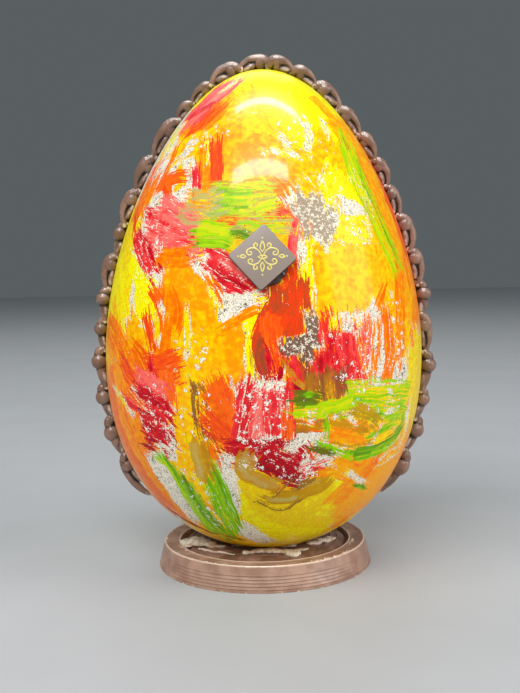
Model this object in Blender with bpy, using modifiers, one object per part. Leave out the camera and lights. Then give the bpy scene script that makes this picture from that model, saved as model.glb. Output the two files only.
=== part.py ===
"""Chocolate egg standing on a low chocolate disc.

Two half shells joined at an upright seam, a row of piped pulls of dark
chocolate over the seam, a small square plaque on the front, and a turned
disc whose shallow recess holds the foot of the egg in set chocolate.

Metres, +Z up, front towards -Y. The origin is the middle of the disc's
underside.
"""

import math

import bmesh
import bpy
from mathutils import Matrix, Vector

MM = 0.001

# ---- driving dimensions, in millimetres -----------------------------------

EGG_HALF_HEIGHT = 122.5      # half of the 245 mm from foot to tip
EGG_GIRTH = 79.84            # radius scale of the outline
EGG_TAPER = -0.201           # how much narrower the tip is than the foot
EGG_FOOT_Z = 9.3             # lowest point of the egg above the table
EGG_LEAN_DEG = 0.87          # the egg leans a little towards +X
EGG_RINGS = 22
EGG_HALF_SEGMENTS = 20
JOINT_GAP = 0.3              # space between pieces that touch

DISC_FOOT_RADIUS = 55.7      # bottom edge of the disc
DISC_RIM_RADIUS = 52.7       # top edge of the disc
DISC_HEIGHT = 12.7
DISC_LIP_RADIUS = 44.7       # inner edge of the flat rim
DISC_LIP_Z = 12.2
DISC_RECESS_RADIUS = 43.6
DISC_RECESS_Z = 9.0
DISC_PLAIN_SHARE = 0.38      # upper part of the side, without steps
DISC_STEPS = 5               # fine steps below it
DISC_STEP_DEPTH = 0.35
DISC_SEGMENTS = 38

SETTING_INNER_RADIUS = 21.0  # ring of set chocolate around the foot
SETTING_TOP_RADIUS = 31.0
SETTING_OUTER_RADIUS = 40.5
SETTING_SHOULDER = 3.4       # its height at the middle, above the recess
SETTING_TOP = 7.6            # its height where it meets the egg
SETTING_WAVES = ((3, 0.7, 0.4), (5, 0.6, 1.9), (8, 0.35, 0.7))
SETTING_SEGMENTS = 28

PLAQUE_SIDE = 21.8
PLAQUE_THICKNESS = 3.0
PLAQUE_CORNER = 1.1
PLAQUE_EDGE = 0.4
PLAQUE_HEIGHT_ON_EGG = 28.1  # above the egg's middle
PLAQUE_ASIDE_DEG = -0.55     # around the egg's axis
PLAQUE_TURN_DEG = 47.8       # corner up, a little clockwise
PLAQUE_STANDOFF = 0.9        # space behind it, filled by the dab

DAB_RADII = (7.4, 4.6, 2.6)
DAB_OFFSET = (5.3, -6.8)     # right and down from the plaque's middle
DAB_TURN_DEG = 42.2          # along the plaque's lower right edge

# Each pull: its length along the seam and how far it stands off the egg.
# Both rows start beside the tip and run down to the foot.
PIPING_START = 3.0           # the first two pulls meet this far right of the tip
LEFT_PULLS = (
    (14.0, 8.4), (15.5, 8.0), (13.5, 6.4), (11.0, 6.0), (22.0, 7.5),
    (19.0, 7.7), (18.0, 8.0), (16.5, 7.0), (18.0, 8.2), (15.5, 8.2),
    (15.0, 7.6), (19.0, 8.8), (17.0, 8.6), (21.0, 8.8), (25.0, 8.2),
)
RIGHT_PULLS = (
    (12.0, 8.4), (13.0, 7.9), (16.5, 8.4), (16.5, 7.4), (14.0, 7.9),
    (15.0, 7.6), (16.5, 7.0), (18.0, 8.6), (17.5, 8.4), (16.0, 8.8),
    (20.0, 7.2), (19.0, 8.8), (15.0, 7.4), (18.5, 8.4), (23.0, 8.6),
)

# One pull: share of its length, height of the rope's middle as a share of
# the pull's reach, rope radius as a share of the reach.
PULL_ROPE = (
    (0.09, 0.42, 0.26),
    (0.19, 0.49, 0.37),
    (0.38, 0.59, 0.41),
    (0.58, 0.57, 0.36),
    (0.78, 0.46, 0.27),
    (0.95, 0.36, 0.22),
)
PULL_LOBE_AT = 0.37          # rounded start of the pull, against the egg
PULL_LOBE_HEIGHT = 0.39
PULL_LOBE_RADII = (0.29, 0.34, 0.50)   # along (of length), out, across (of reach)

DARK_CHOCOLATE = (0.060, 0.026, 0.017)
PAINTED_SHELL = (0.80, 0.42, 0.02)
SET_CHOCOLATE = (0.075, 0.034, 0.022)
PLAQUE_CHOCOLATE = (0.090, 0.045, 0.030)


# ---- helpers ----------------------------------------------------------------

def clear_scene():
    for obj in list(bpy.data.objects):
        bpy.data.objects.remove(obj, do_unlink=True)


def new_collection(name):
    collection = bpy.data.collections.new(name)
    bpy.context.scene.collection.children.link(collection)
    return collection


def make_material(name, color, roughness):
    material = bpy.data.materials.new(name)
    material.use_nodes = True
    shader = material.node_tree.nodes["Principled BSDF"]
    shader.inputs["Base Color"].default_value = (*color, 1.0)
    shader.inputs["Roughness"].default_value = roughness
    shader.inputs["Metallic"].default_value = 0.0
    material.diffuse_color = (*color, 1.0)
    return material


def make_object(name, mesh, collection, material=None, parent=None):
    obj = bpy.data.objects.new(name, mesh)
    collection.objects.link(obj)
    if material is not None:
        mesh.materials.append(material)
    obj.parent = parent
    return obj


def evaluated_mesh(obj):
    """The object's mesh with its modifiers applied, welded and tidy."""
    bpy.context.view_layer.update()
    depsgraph = bpy.context.evaluated_depsgraph_get()
    mesh = bpy.data.meshes.new_from_object(obj.evaluated_get(depsgraph))
    bm = bmesh.new()
    bm.from_mesh(mesh)
    bmesh.ops.remove_doubles(bm, verts=bm.verts, dist=0.00001)
    bmesh.ops.recalc_face_normals(bm, faces=bm.faces)
    bm.to_mesh(mesh)
    bm.free()
    return mesh


def smooth(mesh, angle_deg):
    mesh.shade_smooth()
    mesh.set_sharp_from_angle(angle=math.radians(angle_deg))


def profile_mesh(name, points):
    """An open outline in the XZ plane, from (radius, height) in millimetres."""
    bm = bmesh.new()
    verts = [bm.verts.new((r * MM, 0.0, z * MM)) for r, z in points]
    for a, b in zip(verts, verts[1:]):
        bm.edges.new((a, b))
    mesh = bpy.data.meshes.new(name)
    bm.to_mesh(mesh)
    bm.free()
    return mesh


def turn(obj, steps, angle_deg=360.0):
    screw = obj.modifiers.new("turn", "SCREW")
    screw.axis = "Z"
    screw.angle = math.radians(angle_deg)
    screw.steps = steps
    screw.render_steps = steps
    screw.use_merge_vertices = True
    screw.merge_threshold = 0.00001
    return screw


def cut(obj, cutter):
    boolean = obj.modifiers.new("cut", "BOOLEAN")
    boolean.operation = "DIFFERENCE"
    boolean.solver = "EXACT"
    boolean.object = cutter


def hide_cutter(obj):
    obj.hide_render = True
    obj.display_type = "WIRE"


# ---- the egg's outline --------------------------------------------------------

def egg_point(angle, offset=0.0):
    """(radius, height from the foot) at an angle from the tip, in mm."""
    cos_a = math.cos(angle)
    sin_a = math.sin(angle)
    swell = 1.0 + EGG_TAPER * cos_a
    radius = EGG_GIRTH * sin_a * swell
    height = EGG_HALF_HEIGHT * cos_a
    d_radius = EGG_GIRTH * (cos_a * swell - EGG_TAPER * sin_a * sin_a)
    d_height = -EGG_HALF_HEIGHT * sin_a
    length = math.hypot(d_radius, d_height)
    out_r = -d_height / length
    out_z = d_radius / length
    if sin_a < 1e-9:
        out_r = 0.0
    return Vector((
        radius + out_r * offset,
        height + out_z * offset + EGG_HALF_HEIGHT,
    ))


def egg_outline(rings, offset=0.0):
    points = []
    for i in range(rings + 1):
        point = egg_point(math.pi * i / rings, offset)
        if i in (0, rings):
            point.x = 0.0
        points.append(point)
    return points


def seam_table(steps=720):
    """Angles and distances from the tip along the outline."""
    table = [(0.0, 0.0)]
    last = egg_point(0.0)
    for i in range(1, steps + 1):
        angle = math.pi * i / steps
        point = egg_point(angle)
        table.append((table[-1][0] + (point - last).length, angle))
        last = point
    return table


def angle_at(table, distance):
    """The outline angle at a distance from the tip; negative is past it."""
    side = 1.0 if distance >= 0.0 else -1.0
    distance = abs(distance)
    for (s0, a0), (s1, a1) in zip(table, table[1:]):
        if distance <= s1:
            return side * (a0 + (a1 - a0) * (distance - s0) / (s1 - s0))
    return side * math.pi


def seam_place(table, distance, height, side):
    """A point in the seam plane, in the egg's frame, in metres."""
    angle = angle_at(table, distance)
    point = egg_point(abs(angle), height)
    x = point.x * side * (1.0 if angle >= 0.0 else -1.0)
    return Vector((x * MM, 0.0, point.y * MM))


# ---- pieces -----------------------------------------------------------------

def build_egg_half(name, front, collection, material, parent):
    outline = profile_mesh(name, egg_outline(EGG_RINGS))
    obj = make_object(name, outline, collection)
    turn(obj, EGG_HALF_SEGMENTS, 180.0)
    mesh = evaluated_mesh(obj)
    bpy.data.objects.remove(obj, do_unlink=True)
    bpy.data.meshes.remove(outline)
    bm = bmesh.new()
    bm.from_mesh(mesh)
    open_edges = [edge for edge in bm.edges if edge.is_boundary]
    bmesh.ops.holes_fill(bm, edges=open_edges, sides=0)
    spin = Matrix.Rotation(math.pi if front else 0.0, 4, "Z")
    gap = -JOINT_GAP / 2 if front else JOINT_GAP / 2
    bmesh.ops.transform(
        bm,
        matrix=Matrix.Translation((0.0, gap * MM, 0.0)) @ spin,
        verts=bm.verts,
    )
    bmesh.ops.recalc_face_normals(bm, faces=bm.faces)
    bm.to_mesh(mesh)
    bm.free()
    smooth(mesh, 40.0)
    return make_object(name, mesh, collection, material, parent)


def disc_outline():
    """Top middle of the recess, over the rim and down the stepped side."""
    points = [
        (0.0, DISC_RECESS_Z),
        (DISC_RECESS_RADIUS - 1.0, DISC_RECESS_Z),
        (DISC_RECESS_RADIUS, DISC_RECESS_Z + 0.8),
        (DISC_LIP_RADIUS - 0.5, DISC_LIP_Z),
        (DISC_LIP_RADIUS + 0.5, DISC_LIP_Z),
        (DISC_RIM_RADIUS - 1.0, DISC_HEIGHT - 0.1),
        (DISC_RIM_RADIUS, DISC_HEIGHT - 0.5),
    ]
    flare = DISC_FOOT_RADIUS - DISC_RIM_RADIUS
    steps_top = DISC_HEIGHT * (1.0 - DISC_PLAIN_SHARE)
    for i in range(DISC_STEPS):
        top = steps_top * (1.0 - i / DISC_STEPS)
        down = 1.0 - top / DISC_HEIGHT
        radius = DISC_RIM_RADIUS + flare * down
        points.append((radius, top))
        points.append((radius - DISC_STEP_DEPTH * 0.5, top - 0.25))
    points.append((DISC_FOOT_RADIUS, 0.7))
    points.append((DISC_FOOT_RADIUS - 0.4, 0.0))
    points.append((0.0, 0.0))
    return points


def build_disc(collection, material):
    mesh = profile_mesh("disc", disc_outline())
    obj = make_object("disc", mesh, collection, material)
    turn(obj, DISC_SEGMENTS)
    smooth(mesh, 30.0)
    return obj


def wave(angle, waves):
    return sum(size * math.sin(count * angle + start) for count, size, start in waves)


def build_setting(collection, material, egg_cutter):
    """Set chocolate between the recess and the foot, uneven around its edge."""
    floor = DISC_RECESS_Z + JOINT_GAP
    section = (
        (SETTING_INNER_RADIUS, floor),
        (SETTING_OUTER_RADIUS, floor),
        (SETTING_OUTER_RADIUS + 0.3, floor + 1.2),
        (SETTING_OUTER_RADIUS - 2.2, floor + SETTING_SHOULDER * 0.8),
        (SETTING_TOP_RADIUS + 3.6, floor + SETTING_SHOULDER * 1.25),
        (SETTING_TOP_RADIUS, floor + SETTING_TOP),
        (SETTING_INNER_RADIUS, floor + SETTING_TOP),
    )
    bm = bmesh.new()
    verts = [bm.verts.new((r * MM, 0.0, z * MM)) for r, z in section]
    edges = [bm.edges.new(pair) for pair in zip(verts, verts[1:] + verts[:1])]
    bmesh.ops.spin(
        bm, geom=verts + edges, cent=(0.0, 0.0, 0.0), axis=(0.0, 0.0, 1.0),
        angle=2.0 * math.pi, steps=SETTING_SEGMENTS, use_merge=True,
    )
    bmesh.ops.remove_doubles(bm, verts=bm.verts, dist=0.00001)
    for vert in bm.verts:
        radius = math.hypot(vert.co.x, vert.co.y)
        share = (radius - SETTING_INNER_RADIUS * MM)
        share /= (SETTING_OUTER_RADIUS - SETTING_INNER_RADIUS) * MM
        push = wave(math.atan2(vert.co.y, vert.co.x), SETTING_WAVES) * MM
        scale = 1.0 + max(0.0, share) * push / radius
        vert.co.x *= scale
        vert.co.y *= scale
    bmesh.ops.recalc_face_normals(bm, faces=bm.faces)
    mesh = bpy.data.meshes.new("setting")
    bm.to_mesh(mesh)
    bm.free()
    smooth(mesh, 35.0)
    obj = make_object("setting", mesh, collection, material)
    cut(obj, egg_cutter)
    return obj


def plaque_frame():
    """Place of the plaque's back in the egg's frame: X right, Y up, Z out."""
    low = 0.0
    high = math.pi
    for _ in range(60):
        middle = (low + high) / 2
        if egg_point(middle).y - EGG_HALF_HEIGHT > PLAQUE_HEIGHT_ON_EGG:
            low = middle
        else:
            high = middle
    on_egg = egg_point(low)
    outward = egg_point(low, 1.0) - on_egg
    place = egg_point(low, PLAQUE_STANDOFF)
    around = Matrix.Rotation(math.radians(PLAQUE_ASIDE_DEG), 4, "Z")
    out = Vector((0.0, -outward.x, outward.y))
    right = Vector((1.0, 0.0, 0.0))
    up = out.cross(right)
    axes = Matrix((right, up, out)).transposed().to_4x4()
    move = Matrix.Translation((0.0, -place.x * MM, place.y * MM))
    return around @ move @ axes


def tile_mesh(name, side, thickness, corner, edge, low=0.0):
    """A square tile with rounded corners and softened edges."""
    bm = bmesh.new()
    bmesh.ops.create_cube(bm, size=1.0)
    for vert in bm.verts:
        vert.co.x *= side * MM
        vert.co.y *= side * MM
        vert.co.z = low * MM if vert.co.z < 0.0 else thickness * MM
    upright = [e for e in bm.edges if abs(e.verts[0].co.z - e.verts[1].co.z) > 1e-6]
    if corner > 0.0:
        bmesh.ops.bevel(
            bm, geom=upright, offset=corner * MM, segments=3,
            profile=0.5, affect="EDGES",
        )
    if edge > 0.0:
        rim = [e for e in bm.edges if all(v.co.z > (thickness - 0.01) * MM for v in e.verts)]
        rim += [e for e in bm.edges if all(v.co.z < (low + 0.01) * MM for v in e.verts)]
        bmesh.ops.bevel(
            bm, geom=rim, offset=edge * MM, segments=1,
            profile=0.5, affect="EDGES",
        )
    bmesh.ops.rotate(
        bm, cent=(0.0, 0.0, 0.0), verts=bm.verts,
        matrix=Matrix.Rotation(math.radians(-PLAQUE_TURN_DEG), 3, "Z"),
    )
    mesh = bpy.data.meshes.new(name)
    bm.to_mesh(mesh)
    bm.free()
    return mesh


def build_plaque(collection, cutters, material, dab_material, parent, egg_cutter):
    place = plaque_frame()
    mesh = tile_mesh(
        "plaque", PLAQUE_SIDE, PLAQUE_THICKNESS, PLAQUE_CORNER, PLAQUE_EDGE,
    )
    smooth(mesh, 30.0)
    plaque = make_object("plaque", mesh, collection, material, parent)
    plaque.matrix_local = place

    room = tile_mesh(
        "plaque_room", PLAQUE_SIDE + 2.0 * JOINT_GAP,
        PLAQUE_THICKNESS + 4.0, 0.0, 0.0, low=-JOINT_GAP,
    )
    plaque_cutter = make_object("plaque_room", room, cutters, None, parent)
    plaque_cutter.matrix_local = place
    hide_cutter(plaque_cutter)

    bm = bmesh.new()
    bmesh.ops.create_uvsphere(bm, u_segments=14, v_segments=6, radius=1.0)
    for vert in bm.verts:
        vert.co.x *= DAB_RADII[0] * MM
        vert.co.y *= DAB_RADII[1] * MM
        vert.co.z *= DAB_RADII[2] * MM
    dab_mesh = bpy.data.meshes.new("plaque_dab")
    bm.to_mesh(dab_mesh)
    bm.free()
    smooth(dab_mesh, 35.0)
    dab = make_object("plaque_dab", dab_mesh, collection, dab_material, parent)
    shift = Matrix.Translation((DAB_OFFSET[0] * MM, DAB_OFFSET[1] * MM, -0.0009))
    dab.matrix_local = place @ shift @ Matrix.Rotation(math.radians(DAB_TURN_DEG), 4, "Z")
    cut(dab, egg_cutter)
    cut(dab, plaque_cutter)
    return plaque, dab


def rope_mesh(name, collection, points, radii):
    """A rope of changing thickness as one closed mesh."""
    curve = bpy.data.curves.new(name, "CURVE")
    curve.dimensions = "3D"
    curve.bevel_depth = 1.0 * MM
    curve.bevel_resolution = 2
    curve.use_fill_caps = True
    spline = curve.splines.new("POLY")
    spline.points.add(len(points) - 1)
    for control, point, radius in zip(spline.points, points, radii):
        control.co = (*point, 1.0)
        control.radius = radius
    obj = make_object(name, curve, collection)
    mesh = evaluated_mesh(obj)
    bpy.data.objects.remove(obj, do_unlink=True)
    bpy.data.curves.remove(curve)
    return mesh


def lobe_mesh(name, centre, along, out, radii):
    """A rounded lump with its own three radii, in metres."""
    across = out.cross(along)
    axes = Matrix((along, out, across)).transposed().to_4x4()
    sizes = Matrix.Diagonal((*radii, 1.0))
    bm = bmesh.new()
    bmesh.ops.create_uvsphere(
        bm, u_segments=8, v_segments=5, radius=1.0,
        matrix=Matrix.Translation(centre) @ axes @ sizes,
    )
    bmesh.ops.recalc_face_normals(bm, faces=bm.faces)
    mesh = bpy.data.meshes.new(name)
    bm.to_mesh(mesh)
    bm.free()
    return mesh


def joined(name, first, second, collection):
    """Two overlapping closed meshes made into one body."""
    a = make_object(name + "_a", first, collection)
    b = make_object(name + "_b", second, collection)
    boolean = a.modifiers.new("join", "BOOLEAN")
    boolean.operation = "UNION"
    boolean.solver = "EXACT"
    boolean.object = b
    mesh = evaluated_mesh(a)
    bpy.data.objects.remove(a, do_unlink=True)
    bpy.data.objects.remove(b, do_unlink=True)
    bpy.data.meshes.remove(first)
    bpy.data.meshes.remove(second)
    return mesh


def build_pull(name, table, start, length, reach, side, collection, material, parent):
    points = []
    radii = []
    for share, height, thickness in PULL_ROPE:
        points.append(seam_place(table, start + share * length, height * reach, side))
        radii.append(thickness * reach)
    rope = rope_mesh(name, collection, points, radii)

    at = start + PULL_LOBE_AT * length
    centre = seam_place(table, at, PULL_LOBE_HEIGHT * reach, side)
    foot = seam_place(table, at, 0.0, side)
    out = (centre - foot).normalized()
    along = Vector((out.z, 0.0, -out.x))
    sizes = (
        PULL_LOBE_RADII[0] * length * MM,
        PULL_LOBE_RADII[1] * reach * MM,
        PULL_LOBE_RADII[2] * reach * MM,
    )
    lobe = lobe_mesh(name + "_lobe", centre, along, out, sizes)
    mesh = joined(name, rope, lobe, collection)
    mesh.name = name
    smooth(mesh, 50.0)
    return make_object(name, mesh, collection, material, parent)


def build_piping(collection, material, parent):
    table = seam_table()
    rows = (("left", -1.0, -PIPING_START, LEFT_PULLS), ("right", 1.0, PIPING_START, RIGHT_PULLS))
    for row, side, start, pulls in rows:
        for i, (length, reach) in enumerate(pulls):
            name = f"piping_{row}_{i + 1:02d}"
            build_pull(
                name, table, start, length, reach, side, collection, material, parent,
            )
            start += length


def main():
    clear_scene()
    parts = new_collection("chocolate_egg")
    cutters = new_collection("cutters")

    painted = make_material("painted_shell", PAINTED_SHELL, 0.15)
    dark = make_material("dark_chocolate", DARK_CHOCOLATE, 0.35)
    set_chocolate = make_material("set_chocolate", SET_CHOCOLATE, 0.30)
    plaque_chocolate = make_material("plaque_chocolate", PLAQUE_CHOCOLATE, 0.40)

    egg_frame = bpy.data.objects.new("egg_frame", None)
    parts.objects.link(egg_frame)
    egg_frame.location = (0.0, 0.0, EGG_FOOT_Z * MM)
    egg_frame.rotation_euler = (0.0, math.radians(EGG_LEAN_DEG), 0.0)

    bed = profile_mesh("egg_bed", egg_outline(EGG_RINGS, JOINT_GAP))
    egg_bed = make_object("egg_bed", bed, cutters, None, egg_frame)
    turn(egg_bed, EGG_HALF_SEGMENTS * 2)
    hide_cutter(egg_bed)

    build_egg_half("egg_half_front", True, parts, painted, egg_frame)
    build_egg_half("egg_half_back", False, parts, painted, egg_frame)
    build_disc(parts, dark)
    build_setting(parts, set_chocolate, egg_bed)
    build_plaque(parts, cutters, plaque_chocolate, set_chocolate, egg_frame, egg_bed)
    build_piping(parts, dark, egg_frame)


main()
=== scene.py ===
"""Painted chocolate egg: brushed shell, piped seam, gilt plaque, moulded disc."""

import math
from functools import partial

import bmesh
import bpy
import numpy as np
from bpy.props import FloatProperty, FloatVectorProperty, IntProperty, PointerProperty
from mathutils import Matrix, Vector, noise as field


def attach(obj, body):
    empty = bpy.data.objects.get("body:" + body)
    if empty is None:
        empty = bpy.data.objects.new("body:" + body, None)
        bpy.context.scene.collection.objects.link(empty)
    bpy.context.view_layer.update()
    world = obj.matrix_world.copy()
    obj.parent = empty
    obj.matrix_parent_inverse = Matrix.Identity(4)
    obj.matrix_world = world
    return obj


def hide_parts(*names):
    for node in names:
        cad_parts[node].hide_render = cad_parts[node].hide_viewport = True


bl_info = {
    "name": "Painted Chocolate Egg",
    "version": (1, 0, 0),
    "blender": (4, 5, 0),
    "location": "3D View > Sidebar > Chocolate Egg",
    "description": "A chocolate egg with brushed paint, piped seam, plaque and disc",
    "category": "Object",
}

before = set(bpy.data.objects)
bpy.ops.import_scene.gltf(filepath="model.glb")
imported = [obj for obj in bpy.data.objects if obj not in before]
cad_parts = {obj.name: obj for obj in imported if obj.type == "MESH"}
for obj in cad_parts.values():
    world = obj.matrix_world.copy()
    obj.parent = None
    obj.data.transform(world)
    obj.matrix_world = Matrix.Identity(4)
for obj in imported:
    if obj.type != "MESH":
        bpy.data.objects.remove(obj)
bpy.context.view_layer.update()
MM = 0.001
IN_METRES = Matrix.Scale(MM, 4)
UP = Vector((0.0, 0.0, 1.0))

# ---- sizes in millimetres ---------------------------------------------------

EGG_HALF_HEIGHT = 122.5
EGG_GIRTH = 79.84
EGG_TAPER = -0.201
EGG_FOOT_Z = 9.3
EGG_LEAN_DEG = 0.87
EGG_SKIN = -0.12          # the moulded skin lies a hair inside the solid's faces
EGG_FOOT_CURVE = 75.6     # radius of curvature at the foot
SHELL_GAP = 0.3

# Each pull of the piping from the tip down: length along the seam, reach off
# the egg, and the way that the rope fell: "arch" over a long back, "knuckle"
# bunched up short, "tail" drawn out at the end.
PIPING_START = 3.0
LEFT_PULLS = (
    (14.0, 8.4, "arch"), (15.5, 8.0, "arch"), (13.5, 6.4, "arch"),
    (11.0, 6.0, "arch"), (22.0, 7.5, "arch"), (19.0, 7.7, "arch"),
    (18.0, 8.0, "arch"), (16.5, 7.0, "knuckle"), (18.0, 8.2, "arch"),
    (15.5, 8.2, "knuckle"), (15.0, 7.6, "knuckle"), (19.0, 8.8, "knuckle"),
    (17.0, 8.6, "knuckle"), (21.0, 8.8, "knuckle"), (25.0, 8.2, "tail"),
)
RIGHT_PULLS = (
    (12.0, 8.4, "arch"), (13.0, 7.9, "arch"), (16.5, 8.4, "arch"),
    (16.5, 7.4, "arch"), (14.0, 7.9, "arch"), (15.0, 7.6, "arch"),
    (16.5, 7.0, "arch"), (18.0, 8.6, "arch"), (17.5, 8.4, "arch"),
    (16.0, 8.8, "knuckle"), (20.0, 7.2, "arch"), (19.0, 8.8, "knuckle"),
    (15.0, 7.4, "knuckle"), (18.5, 8.4, "knuckle"), (23.0, 8.6, "knuckle"),
)

# How the rope of a pull runs: share of its length, then height off the egg
# and radius as shares of its reach.
ROPE_RUNS = {
    "arch": (
        (-0.03, 0.22, 0.20), (0.03, 0.31, 0.28), (0.08, 0.41, 0.33),
        (0.15, 0.50, 0.37), (0.24, 0.57, 0.385), (0.34, 0.60, 0.37),
        (0.45, 0.63, 0.335), (0.56, 0.64, 0.295), (0.67, 0.60, 0.26),
        (0.78, 0.52, 0.23), (0.88, 0.43, 0.205), (0.96, 0.34, 0.18),
        (1.04, 0.26, 0.15),
    ),
    "knuckle": (
        (-0.03, 0.24, 0.21), (0.04, 0.40, 0.29), (0.11, 0.50, 0.31),
        (0.19, 0.49, 0.29), (0.30, 0.44, 0.28), (0.45, 0.42, 0.30),
        (0.60, 0.38, 0.30), (0.75, 0.33, 0.27), (0.88, 0.27, 0.22),
        (1.00, 0.23, 0.17), (1.05, 0.20, 0.14),
    ),
    "tail": (
        (-0.03, 0.30, 0.24), (0.05, 0.46, 0.29), (0.13, 0.58, 0.29),
        (0.24, 0.64, 0.30), (0.38, 0.66, 0.29), (0.52, 0.64, 0.27),
        (0.66, 0.58, 0.24), (0.80, 0.46, 0.19), (0.92, 0.28, 0.13),
        (0.99, 0.12, 0.08),
    ),
}
# The rounded head of each pull and the small fold that slumped beside it:
# place and half-length along the pull, then height, radii off the egg and to
# the front, and how far it stands forward, in reaches.
LUMPS = {
    "arch": ((0.30, 0.22, 0.42, 0.42, 0.37, 0.02), (0.64, 0.26, 0.20, 0.20, 0.29, 0.08)),
    "knuckle": ((0.34, 0.22, 0.50, 0.45, 0.42, 0.04), (0.76, 0.20, 0.20, 0.20, 0.29, 0.08)),
    "tail": ((0.22, 0.14, 0.42, 0.42, 0.40, 0.04), (0.50, 0.20, 0.20, 0.20, 0.28, 0.08)),
}

ROPE_TOP = 0.975          # where a rope's top side stops, as a share of its reach
# The rope behind a pull that fixes it to the seam: share of the length and
# radius, then its height and how far back it lies, in reaches.
BASE_ROPE = ((0.05, 0.20), (0.25, 0.26), (0.5, 0.27), (0.75, 0.24), (0.98, 0.18))
BASE_HEIGHT = 0.22
BASE_BACK = 0.26
WRINKLES_PER_MM = 4.4     # in radians
WRINKLE_MM = 0.17
UNEVEN_MM = 0.10

DISC_FOOT_RADIUS = 55.7
DISC_RIM_RADIUS = 52.7
DISC_HEIGHT = 12.7
DISC_LIP_RADIUS = 44.7
DISC_LIP_Z = 12.2
DISC_RECESS_RADIUS = 43.6
DISC_RECESS_Z = 9.0
DISC_PLAIN_SHARE = 0.38
DISC_STEPS = 5

SETTING_INNER = 20.5
SETTING_OUTER = 42.2
SETTING_TOP = 13.9
SETTING_RINGS = 44

PLAQUE_SIDE = 21.8
PLAQUE_THICKNESS = 3.0
PLAQUE_HEIGHT_ON_EGG = 28.1
PLAQUE_ASIDE_DEG = -0.55
PLAQUE_TURN_DEG = 47.8
PLAQUE_STANDOFF = 0.85
DAB_PLACE = (5.3, -6.8, -0.9)
DAB_TURN_DEG = 42.2

# The painter stands half a metre off, a little above the egg's middle.
PAINTER_DISTANCE = 540.0
PAINTER_HEIGHT = 167.0

# ---- brush strokes -----------------------------------------------------------
# In the order laid: colour, tone (0 light to 1 deep), width, wetness (under 1
# the bristles leave gaps), then points as the painter sees them, millimetres
# right of the middle and above the table.

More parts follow.
